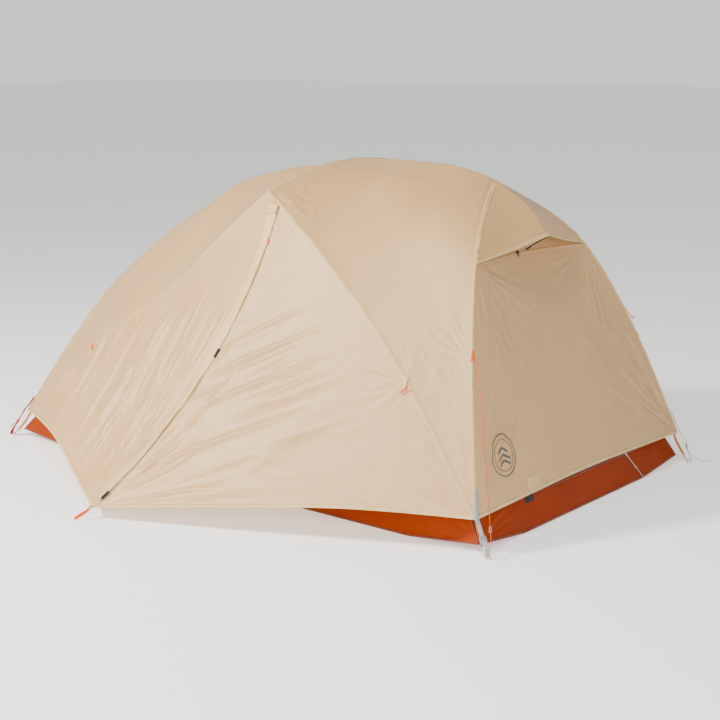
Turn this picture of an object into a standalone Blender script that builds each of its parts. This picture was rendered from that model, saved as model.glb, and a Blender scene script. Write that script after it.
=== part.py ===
"""Free-standing two-person tent, pitched: hubbed pole frame, inner tent and rain fly.

Metres, +Z up.  The origin is on the ground under the middle of the floor, +X points to the
head end and -Y to the front side.  The tent is a mirror image about the plane y = 0, apart
from the guyline and one loose cord.  Every seam of the fly is a smooth curve through a few
points, every sewn panel is a patch stretched between its seams, and the poles follow the
seams a little inside them.
"""
import math

import bmesh
import bpy
import numpy as np
from mathutils import Matrix, Vector

# ---- Driving dimensions ------------------------------------------------------------------
FLOOR_HALF_LENGTH = 1.137
FLOOR_HALF_WIDTH_HEAD = 0.668
FLOOR_HALF_WIDTH_FOOT = 0.540
FLOOR_CORNER_LIFT = 0.030       # the corner straps pull the floor's corners off the ground

APEX = (0.138, 0.0, 1.134)      # the brow pole crosses the ridge pole under this point
BROW_TIP = (0.138, -0.487, 1.048)
HEAD_TOP = (0.743, 0.0, 1.078)  # over the head hub
FOOT_TOP = (-0.880, 0.0, 0.735)  # over the foot hub
HEAD_CORNER = (1.133, -0.682, 0.114)
FOOT_CORNER = (-1.125, -0.530, 0.108)
DOOR_CORNER = (-0.090, -1.130, 0.038)  # the staked corner of the vestibule
HEAD_TIP = (1.178, -0.690, 0.0)  # where a pole stands on the ground
FOOT_TIP = (-1.178, -0.562, 0.0)
ZIP_TOP_HEIGHT = 1.010
ZIP_SAG = 0.092                 # of the door zip, below a straight line

POLE_RADIUS = 0.0045
BALL_RADIUS = 0.0036            # of a pole tip's end
SOCKET_RADIUS = 0.0078
SOCKET_LENGTH = 0.036
SOCKET_DEPTH = 0.022            # from a hub's centre to the bottom of a socket
HUB_OVERLAP = 0.008             # the arms run this far into each other
RIDGE_DEPTH = 0.0225            # the ridge pole's axis below the fly
BROW_DEPTH = 0.0115             # the brow pole's axis below the fly
CLIP_ABOVE = 0.001              # the swivel clip above the brow pole's axis
CLIP_BELOW = 0.008              # and below the ridge pole's axis
LEG_INSET = 0.014               # a leg's axis inside the fly's seam

FABRIC = 0.002                  # thickness of a fabric panel's solid
SEAM = 0.004                    # from a seam line to the panel's edge
WEBBING = 0.0016
WEBBING_WIDTH = 0.015
BUCKLE_SIZE = (0.0066, 0.023, 0.016)
BUCKLE_AT = 0.45                # along a corner strap, from the ground
LOOP_LENGTH, LOOP_WIDTH, LOOP_BORDER = 0.060, 0.018, 0.0045   # of a stake loop
FLAP_WIDTH = 0.040
FLAP_STAND = 0.0085             # the storm flap stands this far off the zip
FLAP_LAP = 0.007                # and reaches this far past it
FLAP_FROM, FLAP_TO = 0.045, 0.970   # along the zip
SLIDER_AT = 0.10                # along the zip
VENT_HEIGHT = 0.845             # where the vent's visor leaves the legs
VENT_PEAK = (0.963, 0.0, 0.909)
VENT_SILL = (0.862, 0.0, 0.850)
DOOR_SILL = 0.055               # inner door above the floor's wall
DOOR_LINTEL = 0.030             # below the place that LINTEL_TOP gives
INNER_DOOR_X = (-0.33, 0.47)
TOGGLE_DROP = 0.028             # a door toggle hangs this far along its seam
TOGGLE_STAND = 0.0080           # off the fly
TOGGLE_RADIUS, TOGGLE_LENGTH = 0.0026, 0.024
CORD_RADIUS = 0.0011
CORD_GAP = 0.0008               # around a cord in its tensioner
TENSIONER_RADIUS, TENSIONER_LENGTH = 0.0040, 0.020
TENSIONER_AT = 0.92             # along the guyline
CLEARANCE = 0.0006

# ---- Seams of the fly: front half, each through a few points -----------------------------
RIDGE_HEAD = [APEX, (0.40, 0.0, 1.140), (0.60, 0.0, 1.118), HEAD_TOP]
RIDGE_FOOT = [APEX, (-0.15, 0.0, 1.085), (-0.42, 0.0, 1.018), (-0.66, 0.0, 0.898), FOOT_TOP]
BROW = [APEX, (0.138, -0.240, 1.113), BROW_TIP]
LEG_HEAD = [HEAD_TOP, (0.883, -0.315, 0.883), (1.000, -0.512, 0.571), HEAD_CORNER]
LEG_FOOT = [FOOT_TOP, (-0.945, -0.201, 0.603), (-1.028, -0.358, 0.392), FOOT_CORNER]
SEAM_HEAD = [BROW_TIP, (0.409, -0.540, 0.862), (0.701, -0.597, 0.625), (0.930, -0.642, 0.372),
             HEAD_CORNER]
SEAM_FOOT = [BROW_TIP, (-0.080, -0.497, 0.880), (-0.313, -0.509, 0.683), (-0.676, -0.526, 0.445),
             FOOT_CORNER]
HEM_HEAD_SIDE = [DOOR_CORNER, (0.355, -0.985, 0.085), (0.744, -0.836, 0.116), HEAD_CORNER]
HEM_FOOT_SIDE = [DOOR_CORNER, (-0.328, -0.992, 0.076), (-0.600, -0.838, 0.134),
                 (-0.844, -0.698, 0.136), FOOT_CORNER]
HEM_HEAD_END = [HEAD_CORNER, (1.134, 0.0, 0.132)]
HEM_FOOT_END = [FOOT_CORNER, (-1.118, 0.0, 0.126)]

# ---- Cords, each through a few points ----------------------------------------------------
GUY_TOP = (1.014, -0.507, 0.566)
GUY_BOTTOM = (1.170, -0.652, 0.036)
GUY_SAG = (0.006, -0.004, -0.003)   # of the guyline's middle, from a straight line
CORNER_CORD = [(1.186, 0.722, 0.020), (1.196, 0.738, 0.006), (1.212, 0.752, 0.0012),
               (1.232, 0.768, 0.0012)]

SIDES = (("front", -1), ("back", 1))


# ---- Curves and patches ------------------------------------------------------------------
def mirror(point):
    return np.array(point) * (1.0, -1.0, 1.0)


def side(point, sign):
    """The point on the front (sign -1) or the back (sign +1)."""
    return np.array(point) * (1.0, -sign, 1.0)


def unit(vector):
    vector = np.array(vector, float)
    return vector / np.linalg.norm(vector)


def spline(points):
    """A smooth curve through the points, as a function of 0..1 along its length."""
    p = np.array(points, float)
    steps = np.linalg.norm(np.diff(p, axis=0), axis=1)
    s = np.concatenate(([0.0], np.cumsum(steps))) / steps.sum()
    slope = np.zeros_like(p)
    if len(p) == 2:
        slope[:] = p[1] - p[0]
    else:
        slope[1:-1] = (p[2:] - p[:-2]) / (s[2:] - s[:-2])[:, None]
        slope[0] = 1.5 * (p[1] - p[0]) / (s[1] - s[0]) - 0.5 * slope[1]
        slope[-1] = 1.5 * (p[-1] - p[-2]) / (s[-1] - s[-2]) - 0.5 * slope[-2]

    def at(t):
        i = int(np.clip(np.searchsorted(s, t, side="right") - 1, 0, len(p) - 2))
        h = s[i + 1] - s[i]
        u = (t - s[i]) / h
        keep = (2 * u**3 - 3 * u**2 + 1) * p[i] + (3 * u**2 - 2 * u**3) * p[i + 1]
        lean = (u**3 - 2 * u**2 + u) * slope[i] + (u**3 - u**2) * slope[i + 1]
        return keep + h * lean

    return at


def part_of(curve, start, end):
    return lambda t: curve(start + (end - start) * t)


def where(curve, value, axis=2):
    """The place 0..1 along a curve where one coordinate first reaches a value."""
    low, high = 0.0, 1.0
    rising = curve(1.0)[axis] > curve(0.0)[axis]
    for _ in range(40):
        middle = (low + high) / 2
        if (curve(middle)[axis] < value) == rising:
            low = middle
        else:
            high = middle
    return low


def patch(west, east, north, south):
    """A surface between four curves: west and east run along v, north and south along u."""
    corners = [west(0.0), east(0.0), west(1.0), east(1.0)]

    def at(u, v):
        across = (1 - u) * west(v) + u * east(v)
        along = (1 - v) * north(u) + v * south(u)
        flat = (1 - v) * ((1 - u) * corners[0] + u * corners[1])
        flat = flat + v * ((1 - u) * corners[2] + u * corners[3])
        return across + along - flat

    return at


def fixed(point):
    return lambda t: np.array(point, float)


def both_sides(half):
    """A surface that crosses the tent: the front half has u 0..1 from its edge to y = 0."""
    return lambda u, v: half(2 * u, v) if u <= 0.5 else mirror(half(2 - 2 * u, v))


def trimmed(surface, start=SEAM, end=SEAM, edge=SEAM):
    """The surface without a margin, in metres, along its four edges."""
    column = [surface(0.5, v) for v in np.linspace(0, 1, 13)]
    length = sum(np.linalg.norm(b - a) for a, b in zip(column, column[1:]))

    def at(u, v):
        v = start / length + (1 - (start + end) / length) * v
        row = [surface(w, v) for w in np.linspace(0, 1, 13)]
        width = sum(np.linalg.norm(b - a) for a, b in zip(row, row[1:]))
        first = edge / width
        return surface(first + (1 - 2 * first) * u, v)

    return at


def shifted(surface, sign):
    """The front surface itself, or its mirror image on the back."""
    return lambda u, v: side(surface(u, v), sign)


def inner(point):
    """Where the inner tent hangs, under a point of the fly."""
    x, y, z = point
    return np.array((0.965 * x, 0.950 * y, z - 0.050 * min(1.0, z / 0.5)))


# ---- Blender helpers ---------------------------------------------------------------------
def collection(name):
    made = bpy.data.collections.new(name)
    bpy.context.scene.collection.children.link(made)
    return made


def material(name, colour, roughness, metallic=0.0):
    made = bpy.data.materials.new(name)
    made.use_nodes = True
    shader = made.node_tree.nodes["Principled BSDF"]
    shader.inputs["Base Color"].default_value = (*colour, 1.0)
    shader.inputs["Roughness"].default_value = roughness
    shader.inputs["Metallic"].default_value = metallic
    made.diffuse_color = (*colour, 1.0)
    return made


def place(name, mesh, finish, location=(0, 0, 0), rotation=None):
    made = bpy.data.objects.new(name, mesh)
    made.location = location
    if rotation is not None:
        made.rotation_euler = rotation.to_euler()
    made.data.materials.append(finish)
    TENT.objects.link(made)
    return made


def axes(along, towards=(0, 0, 1)):
    """A rotation whose Z runs along one direction and whose X leans towards another."""
    z = Vector(along).normalized()
    x = Vector(towards) - z * z.dot(Vector(towards))
    if x.length < 1e-6:
        x = z.orthogonal()
    x.normalize()
    return Matrix((x, z.cross(x), z)).transposed()


def sheet(name, surface, columns, rows, finish, origin=(0, 0, 0), thickness=FABRIC, lift=0.0,
          drop=None):
    """A fabric panel: a grid laid on a surface and given a thickness.

    drop says which cells a doorway leaves out, from a cell's middle."""
    bm = bmesh.new()
    bmesh.ops.create_grid(bm, x_segments=columns, y_segments=rows, size=0.5)
    if drop:
        cells = [f for f in bm.faces if drop(*f.calc_center_median()[:2])]
        bmesh.ops.delete(bm, geom=cells, context="FACES")
    for vert in bm.verts:
        u = min(1.0, max(0.0, vert.co.x + 0.5))
        v = min(1.0, max(0.0, vert.co.y + 0.5))
        vert.co = Vector(surface(u, v) - np.array(origin))
    mesh = bpy.data.meshes.new(name)
    bm.to_mesh(mesh)
    bm.free()
    mesh.shade_smooth()
    made = place(name, mesh, finish, origin)
    solid = made.modifiers.new("thickness", "SOLIDIFY")
    solid.thickness = thickness
    solid.offset = lift
    return made


def tube(name, points, radius, finish, sides=2):
    """A tube along a line of points, with filled ends."""
    curve = bpy.data.curves.new(name, "CURVE")
    curve.dimensions = "3D"
    curve.bevel_depth = radius
    curve.bevel_resolution = sides
    curve.use_fill_caps = True
    run = curve.splines.new("POLY")
    run.points.add(len(points) - 1)
    for knot, point in zip(run.points, points):
        knot.co = (*point, 1.0)
    return place(name, curve, finish)


def box(name, size, finish, location, rotation=None, bevel=0.0):
    bm = bmesh.new()
    bmesh.ops.create_cube(bm, size=1.0, matrix=Matrix.Diagonal((*size, 1.0)))
    mesh = bpy.data.meshes.new(name)
    bm.to_mesh(mesh)
    bm.free()
    made = place(name, mesh, finish, location, rotation)
    if bevel:
        edge = made.modifiers.new("edge", "BEVEL")
        edge.width = bevel
        edge.segments = 1
    return made


def cylinder(name, radius, length, finish, location, rotation, sides=16):
    bm = bmesh.new()
    bmesh.ops.create_cone(bm, cap_ends=True, segments=sides, radius1=radius, radius2=radius,
                          depth=length)
    mesh = bpy.data.meshes.new(name)
    bm.to_mesh(mesh)
    bm.free()
    return place(name, mesh, finish, location, rotation)


def turned(name, profile, finish, location, rotation, steps=16):
    """A solid of revolution about its own Z from a profile of (radius, height), top first."""
    mesh = bpy.data.meshes.new(name)
    verts = [(radius, 0.0, height) for radius, height in profile]
    mesh.from_pydata(verts, [(i, i + 1) for i in range(len(verts) - 1)], [])
    made = place(name, mesh, finish, location, rotation)
    spin = made.modifiers.new("turn", "SCREW")
    spin.steps = steps
    spin.render_steps = steps
    spin.use_merge_vertices = True
    spin.merge_threshold = 1e-5
    return made


def combine(target, operand, operation):
    """Cuts or joins a hidden operand to a piece."""
    TENT.objects.unlink(operand)
    CUTTERS.objects.link(operand)
    operand.hide_render = True
    operand.display_type = "WIRE"
    change = target.modifiers.new(operand.name, "BOOLEAN")
    change.operation = operation
    change.object = operand


# ---- Shapes shared by several pieces -----------------------------------------------------
ridge_head, ridge_foot = spline(RIDGE_HEAD), spline(RIDGE_FOOT)
brow, leg_head, leg_foot = spline(BROW), spline(LEG_HEAD), spline(LEG_FOOT)
seam_head, seam_foot = spline(SEAM_HEAD), spline(SEAM_FOOT)


def door_zip():
    """The zip's arc: its centre, its turning axis, the whole angle and the start's angle."""
    top = seam_head(where(seam_head, ZIP_TOP_HEIGHT))
    bottom = np.array(DOOR_CORNER)
    chord = np.linalg.norm(bottom - top)
    along = (bottom - top) / chord
    outward = unit(np.array((0.0, 0.0, 1.0)) - along[2] * along)
    radius = chord**2 / (8 * ZIP_SAG) + ZIP_SAG / 2
    centre = (top + bottom) / 2 + outward * (radius - ZIP_SAG)
    half = math.asin(chord / 2 / radius)

    def at(t):
        angle = half * (2 * t - 1)
        return centre + radius * (along * math.sin(angle) - outward * math.cos(angle))

    return at, centre, np.cross(along, outward), 2 * half


ZIP, ZIP_CENTRE, ZIP_AXIS, ZIP_ANGLE = door_zip()
ZIP_TOP_AT = where(seam_head, ZIP_TOP_HEIGHT)
FOLD_MARGIN = 0.006             # the fold of a door keeps this far from its seam
FOLD_REACH = 0.034              # from the hinge's axis to the fold
LEAST_FOLD_SHARE = 0.35         # of a door panel's width that swings, at the least
FIRST_STRIP_LEVEL = 0.03        # the strip starts a little below the panel's pointed top
LINTEL_TOP = 0.93               # as a share of the inner side wall's height
STRIP_SHARE = 1 / 8             # one of a roof half's eight columns
ABOVE_ZIP = 0.05                # share of the foot-side door's edge that is above the zip
SEAM_BELOW_ZIP = part_of(seam_head, ZIP_TOP_AT, 1.0)
VENT_AT = where(leg_head, VENT_HEIGHT)
VENT_CORNER = leg_head(VENT_AT)


def zip_side(t):
    """The foot-side door's edge: a little of the roof's seam, then the zip."""
    if t < ABOVE_ZIP:
        return seam_head(ZIP_TOP_AT * t / ABOVE_ZIP)
    return ZIP((t - ABOVE_ZIP) / (1 - ABOVE_ZIP))


def roof_head_half(u, v):
    return patch(seam_head, ridge_head, lambda t: brow(1 - t), lambda t: leg_head(1 - t))(u, v)


def roof_foot_half(u, v):
    return patch(seam_foot, ridge_foot, lambda t: brow(1 - t), lambda t: leg_foot(1 - t))(u, v)


def visor_half(u, v):
    middle = spline([HEAD_TOP, (0.868, 0.0, 1.010), VENT_PEAK])
    lip = spline([VENT_CORNER, (0.932, -0.165, 0.874), VENT_PEAK])
    return patch(part_of(leg_head, 0.0, VENT_AT), middle, fixed(HEAD_TOP), lip)(u, v)


def wall_head_half(u, v):
    middle = spline([VENT_SILL, (0.965, 0.0, 0.620), (1.068, 0.0, 0.350), HEM_HEAD_END[1]])
    sill = spline([VENT_CORNER, (0.874, -0.170, 0.848), VENT_SILL])
    return patch(part_of(leg_head, VENT_AT, 1.0), middle, sill, spline(HEM_HEAD_END))(u, v)


def wall_foot_half(u, v):
    middle = spline([FOOT_TOP, (-0.978, 0.0, 0.540), (-1.065, 0.0, 0.300), HEM_FOOT_END[1]])
    return patch(leg_foot, middle, fixed(FOOT_TOP), spline(HEM_FOOT_END))(u, v)


def door_head_side(u, v):
    """The head-side door panel: u runs from the zip to the seam, v from the top to the hem."""
    return patch(ZIP, SEAM_BELOW_ZIP, fixed(ZIP(0.0)), spline(HEM_HEAD_SIDE))(u, v)


def door_foot_side(u, v):
    return patch(zip_side, seam_foot, fixed(BROW_TIP), spline(HEM_FOOT_SIDE))(u, v)


def fold_of(door):
    """Where a door panel folds back along its curved seam.

    Gives a point of the hinge's axis, the axis upwards, and for each row the share of the
    panel from the zip to the fold.  The axis lies between the fold and the seam, level with
    the middle of the fold's bow, so that the folded panel clears the roof."""
    top, corner, staked = door(1.0, 0.0), door(1.0, 1.0), np.array(DOOR_CORNER)
    along = unit(top - corner)
    away = unit((staked - corner) - np.dot(staked - corner, along) * along)
    outward = np.cross(along, away)
    outward = outward * np.sign(-outward[1])
    seam_reach = max(np.dot(door(1.0, v) - corner, away) for v in np.linspace(0, 1, 25))
    fold = corner + away * (seam_reach + FOLD_MARGIN)

    levels = np.linspace(0, 1, 41)
    edges, heights = [], []
    for v in levels:
        low, high = 0.0, 1.0
        for _ in range(20):
            middle = (low + high) / 2
            if np.dot(door(middle, v) - fold, away) > 0:
                low = middle
            else:
                high = middle
        edges.append(max(low, LEAST_FOLD_SHARE))
        heights.append(np.dot(door(low, v) - fold, outward))
    bow = (min(heights) + max(heights)) / 2
    hinge = fold - away * FOLD_REACH + outward * bow
    return hinge, along, lambda v: float(np.interp(v, levels, edges))


def below_fold(door):
    """The part of a door panel that swings: from the zip to the fold."""
    edge_at = fold_of(door)[2]
    return lambda u, v: door(u * edge_at(v), v)


def with_strip(half, door, seam_start):
    """A roof half with the strip of the door panel between its seam and the fold added."""
    edge_at = fold_of(door)[2]

    def at(u, v):
        if u >= STRIP_SHARE:
            return half((u - STRIP_SHARE) / (1 - STRIP_SHARE), v)
        level = max(FIRST_STRIP_LEVEL, (v - seam_start) / (1 - seam_start))
        edge = edge_at(level)
        return door(edge + (1 - edge) * u / STRIP_SHARE, level)

    return at


def floor_height(x, y):
    """The floor lies flat, and rises only towards its four corners."""
    width = floor_half_width(x)
    near_end = max(0.0, (abs(x) / FLOOR_HALF_LENGTH - 0.75) / 0.25)
    near_side = max(0.0, (abs(y) / width - 0.60) / 0.40)
    return FLOOR_CORNER_LIFT * near_end * near_side


def floor_half_width(x):
    share = (x + FLOOR_HALF_LENGTH) / (2 * FLOOR_HALF_LENGTH)
    return FLOOR_HALF_WIDTH_FOOT + share * (FLOOR_HALF_WIDTH_HEAD - FLOOR_HALF_WIDTH_FOOT)


TUB_TOP = [inner(HEAD_CORNER), inner(FOOT_CORNER)]   # front corners of the tub's upper edge


def seam_inner(x):
    """The inner tent's roof seam over a place along the front side."""
    curve = seam_head if x > inner(BROW_TIP)[0] else seam_foot
    return inner(curve(where(curve, x / 0.965, axis=0)))


def side_wall(x, height):
    """A point of the inner side wall, height 0 at the tub's edge and 1 at the roof seam."""
    share = (x - TUB_TOP[1][0]) / (TUB_TOP[0][0] - TUB_TOP[1][0])
    foot = TUB_TOP[1] + share * (TUB_TOP[0] - TUB_TOP[1])
    return foot + height * (seam_inner(x) - foot)


def side_wall_height(x):
    return np.linalg.norm(side_wall(x, 1.0) - side_wall(x, 0.0))


def sill_share(x):
    """Where the inner door's sill is, as a share of the side wall's height."""
    return min(DOOR_SILL / side_wall_height(x), 0.25)


def lintel_share(x):
    return max(LINTEL_TOP - DOOR_LINTEL / side_wall_height(x), 0.60)


# ---- Frame -------------------------------------------------------------------------------
def socket_directions(end):
    """The head (+1) or foot (-1) hub's centre, and its three sockets' directions."""
    if end > 0:
        top, ridge, leg = HEAD_TOP, ridge_head, leg_head
    else:
        top, ridge, leg = FOOT_TOP, ridge_foot, leg_foot
    centre = np.array(top) - (0, 0, RIDGE_DEPTH)
    to_leg = unit(leg(0.10) - leg(0.0))
    return centre, unit(ridge(0.93) - ridge(1.0)), to_leg, mirror(to_leg)


def make_hub(name, end):
    centre, *directions = socket_directions(end)
    hub = None
    for number, direction in enumerate(directions):
        middle = centre + direction * (SOCKET_LENGTH / 2 - HUB_OVERLAP / 2)
        arm = cylinder(f"{name}_arm{number}", SOCKET_RADIUS, SOCKET_LENGTH + HUB_OVERLAP, NYLON,
                       middle, axes(direction), 14)
        if hub is None:
            hub = arm
            hub.name = name
        else:
            combine(hub, arm, "UNION")
    for number, direction in enumerate(directions):
        middle = centre + direction * ((SOCKET_LENGTH + SOCKET_DEPTH) / 2 + 0.010)
        length = SOCKET_LENGTH - SOCKET_DEPTH + 0.020
        bore = cylinder(f"{name}_bore{number}", POLE_RADIUS + CLEARANCE, length, NYLON, middle,
                        axes(direction), 14)
        combine(hub, bore, "DIFFERENCE")
    return hub


def make_ridge_pole():
    """From socket to socket, under the ridge of the fly."""
    head, into_head, *_ = socket_directions(+1)
    foot, into_foot, *_ = socket_directions(-1)
    down = np.array((0, 0, RIDGE_DEPTH))
    route = [foot + into_foot * (SOCKET_DEPTH + 0.001), foot + into_foot * 0.050]
    route += [ridge_foot(t) - down for t in (0.85, 0.65, 0.45, 0.25, 0.08)]
    route += [ridge_head(t) - down for t in (0.0, 0.20, 0.45, 0.65, 0.82)]
    route += [head + into_head * 0.050, head + into_head * (SOCKET_DEPTH + 0.001)]
    curve = spline(route)
    points = [curve(t) for t in np.linspace(0.03, 0.97, 40)]
    tube("ridge_pole", [route[0], route[1]] + points + [route[-2], route[-1]], POLE_RADIUS, ALLOY)


def make_brow_pole():
    curve = spline([mirror(p) for p in BROW[:0:-1]] + BROW)
    down = np.array((0, 0, BROW_DEPTH))
    tube("brow_pole", [curve(t) - down for t in np.linspace(0.022, 0.978, 25)], POLE_RADIUS, ALLOY)


def leg_route(end):
    """A front leg's axis, from its socket to the top of its tip."""
    leg = leg_head if end > 0 else leg_foot
    hub, _, direction, _ = socket_directions(end)
    inside = np.array((0.25, 0.0, 0.45) if end > 0 else (-0.35, 0.0, 0.25))
    tip = np.array(HEAD_TIP if end > 0 else FOOT_TIP)
    route = [hub + direction * (SOCKET_DEPTH + 0.001), hub + direction * 0.050]
    for t in (0.22, 0.40, 0.58, 0.76, 0.92):
        route.append(leg(t) + unit(inside - leg(t)) * LEG_INSET)
    corner = leg(1.0) + unit(inside - leg(1.0)) * 1.5 * LEG_INSET - np.array((0, 0, 0.012))
    route.append(corner + (tip - corner) * 0.30)
    route.append(corner + (tip - corner) * 0.70)
    return route, unit(route[-1] - route[-2])


def make_leg(name, end, sign):
    route, _ = leg_route(end)
    curve = spline(route)
    points = [route[0], route[1]] + [curve(t) for t in np.linspace(0.06, 1.0, 24)]
    tube(name, [side(p, sign) for p in points], POLE_RADIUS, ALLOY)


def make_tip(name, end, sign):
    """A pole tip: a collar against the pole, a neck for the grommet and a ball that stands."""
    route, along = leg_route(end)
    top = route[-1] + along * CLEARANCE
    length = (top[2] - BALL_RADIUS) / -along[2]
    angles = np.radians((40, 65, 90, 115, 140, 160))
    profile = [(0, 0), (POLE_RADIUS, 0), (POLE_RADIUS, -0.010), (0.6 * BALL_RADIUS, -0.012)]
    profile += [(BALL_RADIUS * math.sin(a), BALL_RADIUS * math.cos(a) - length) for a in angles]
    profile += [(0, -length - BALL_RADIUS)]
    return turned(name, profile, STEEL, side(top, sign), axes(-side(along, sign)))


def make_brow_clip():
    """The swivel clip: the ridge pole runs through it, and the brow pole lies in its saddle."""
    ridge_z = APEX[2] - RIDGE_DEPTH
    brow_z = APEX[2] - BROW_DEPTH
    top, bottom = brow_z + CLIP_ABOVE, ridge_z - CLIP_BELOW
    middle = (APEX[0], 0.0, (top + bottom) / 2)
    clip = box("brow_clip", (0.024, 0.018, top - bottom), NYLON, middle, bevel=0.0015)
    slope = ridge_head(0.02) - ridge_foot(0.02)
    through = cylinder("clip_ridge_bore", POLE_RADIUS + 2 * CLEARANCE, 0.05, NYLON,
                       (APEX[0], 0, ridge_z), axes(slope))
    saddle = cylinder("clip_brow_saddle", POLE_RADIUS + CLEARANCE, 0.05, NYLON,
                      (APEX[0], 0, brow_z), axes((0, 1, 0)))
    combine(clip, through, "DIFFERENCE")
    combine(clip, saddle, "DIFFERENCE")


# ---- Inner tent --------------------------------------------------------------------------
def make_floor():
    inset = 0.004

    def surface(u, v):
        x = (2 * u - 1) * (FLOOR_HALF_LENGTH - inset)
        y = (2 * v - 1) * (floor_half_width(x) - inset)
        return np.array((x, y, floor_height(x, y)))

    sheet("tub_floor", surface, 16, 10, RUST, lift=1.0)


def tub_edge(x, y):
    """A point of the floor's outline, just above the floor."""
    return np.array((x, y, floor_height(x, y) + 0.0016))


def make_tub_walls():
    head, foot = TUB_TOP
    drop = np.array((0, 0, 0.003))
    for name, top, x, width in (("tub_wall_head", head, FLOOR_HALF_LENGTH, FLOOR_HALF_WIDTH_HEAD),
                                ("tub_wall_foot", foot, -FLOOR_HALF_LENGTH, FLOOR_HALF_WIDTH_FOOT)):
        def end_wall(u, v, top=top, x=x, width=width):
            low = tub_edge(x, (2 * u - 1) * (width - 0.003))
            high = mirror(top) * u + top * (1 - u) - drop
            high[1] *= 0.992
            return low + (high - low) * v

        sheet(name, end_wall, 10, 1, RUST)
    for name, sign in SIDES:
        def long_wall(u, v, sign=sign):
            x = (2 * u - 1) * (FLOOR_HALF_LENGTH - 0.006)
            low = tub_edge(x, -floor_half_width(x))
            high = foot + (head - foot) * (0.004 + 0.992 * u) - drop
            return side(low + (high - low) * v, sign)

        sheet(f"tub_wall_{name}", long_wall, 16, 1, RUST)


def make_inner_canopy():
    roof = trimmed(lambda u, v: inner(both_sides(roof_head_half)(u, v)), SEAM, SEAM, 0.005)
    sheet("inner_roof_head", roof, 12, 6, MESH)
    roof = trimmed(lambda u, v: inner(both_sides(roof_foot_half)(u, v)), SEAM, SEAM, 0.005)
    sheet("inner_roof_foot", roof, 12, 8, MESH)
    for name, leg in (("inner_wall_head", leg_head), ("inner_wall_foot", leg_foot)):
        def end_wall(u, v, leg=leg):
            return inner(leg(v) * (1.0, 1 - 2 * u, 1.0))

        sheet(name, trimmed(end_wall, 0.030, 0.002, 0.005), 8, 8, MESH)


def make_inner_sides():
    """Each side wall has a doorway, and its door hangs in the doorway on the foot side."""
    margin = 0.005
    first, last = TUB_TOP[1][0] + 0.070, TUB_TOP[0][0] - 0.070
    left, right = INNER_DOOR_X
    stops = [first, -0.80, -0.55, left, -0.17, -0.01, 0.150, 0.31, right, 0.62, 0.80, last]
    columns, rows = len(stops) - 1, 6

    def wall(u, v):
        i = min(int(u * columns), columns - 1)
        x = stops[i] + (stops[i + 1] - stops[i]) * (u * columns - i)
        tall = side_wall_height(x)
        sill, lintel = sill_share(x), lintel_share(x)
        marks = [0.003 / tall] + [sill + (lintel - sill) * k / 4 for k in range(5)]
        marks.append(1 - SEAM / tall)
        k = min(int(v * rows), rows - 1)
        return side_wall(x, marks[k] + (marks[k + 1] - marks[k]) * (v * rows - k))

    def in_doorway(u, v):
        column, row = int((u + 0.5) * columns), int((v + 0.5) * rows)
        return stops.index(left) <= column < stops.index(right) and 1 <= row <= 4

    def leaf(u, v):
        x = left + margin + (right - left - 2 * margin) * u
        tall = side_wall_height(x)
        low = sill_share(x) + margin / tall
        high = lintel_share(x) - margin / tall
        return side_wall(x, low + (high - low) * v)

    slider_x = right - 0.030
    start, end = side_wall(slider_x, sill_share(slider_x)), side_wall(left, sill_share(left))
    along = unit(end - start)
    outward = np.cross(along, side_wall(0.0, 1.0) - side_wall(0.0, 0.0))
    outward = unit(outward) * np.sign(-outward[1])
    spot = start + outward * 0.0065
    for name, sign in SIDES:
        surface = shifted(wall, sign)
        sheet(f"inner_wall_{name}", surface, columns, rows, MESH, drop=in_doorway)
        hinge = side(side_wall(left, sill_share(left)), sign)
        sheet(f"inner_door_{name}", shifted(leaf, sign), 5, 4, MESH, origin=hinge)
        turn = axes(side(along, sign), side(outward, sign))
        place_at = side(spot, sign)
        box(f"inner_slider_{name}", (0.005, 0.008, 0.014), GREY_PLASTIC, place_at, turn, bevel=0.001)


# ---- Rain fly ----------------------------------------------------------------------------
def make_fly_roof_and_ends():
    head = both_sides(with_strip(roof_head_half, door_head_side, ZIP_TOP_AT))
    foot = both_sides(with_strip(roof_foot_half, door_foot_side, 0.0))
    sheet("fly_roof_head", trimmed(head), 16, 8, FLY)
    sheet("fly_roof_foot", trimmed(foot), 16, 10, FLY)
    sheet("vent_visor", trimmed(both_sides(visor_half), start=0.035, end=0.001), 10, 4, FLY)
    sheet("fly_wall_head", trimmed(both_sides(wall_head_half), start=0.001, end=0.001), 10, 7, FLY)
    sheet("fly_wall_foot", trimmed(both_sides(wall_foot_half), start=0.035, end=0.001), 10, 7, FLY)


def make_vent_prop():
    """A flat stay from the wall to the lip of the visor."""
    low = np.array(VENT_SILL) + (0.010, 0.0, 0.004)
    high = np.array(VENT_PEAK) - (0.010, 0.0, 0.0075)
    length = np.linalg.norm(high - low)
    middle = (low + high) / 2
    box("vent_prop", (0.0015, 0.012, length - 0.006), BLACK, middle, axes(high - low, (0, 0, 1)))


def make_doors():
    for label, door, start in (("head", door_head_side, 0.060), ("foot", door_foot_side, 0.110)):
        panel = trimmed(below_fold(door), start=start, end=0.001)
        hinge = fold_of(door)[0]
        for name, sign in SIDES:
            sheet(f"fly_door_{label}_{name}", shifted(panel, sign), 8, 9, FLY, origin=side(hinge, sign))


def zip_frame(t):
    """At a place along the zip: its direction, the way onto the foot-side door, and outward."""
    along = unit(ZIP(t + 0.01) - ZIP(t - 0.01))
    near = ABOVE_ZIP + (1 - ABOVE_ZIP) * t
    across = door_foot_side(0.10, near) - door_foot_side(0.0, near)
    across = unit(across - along * np.dot(across, along))
    outward = np.cross(along, across)
    return along, across, outward * np.sign(-outward[1])


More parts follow.
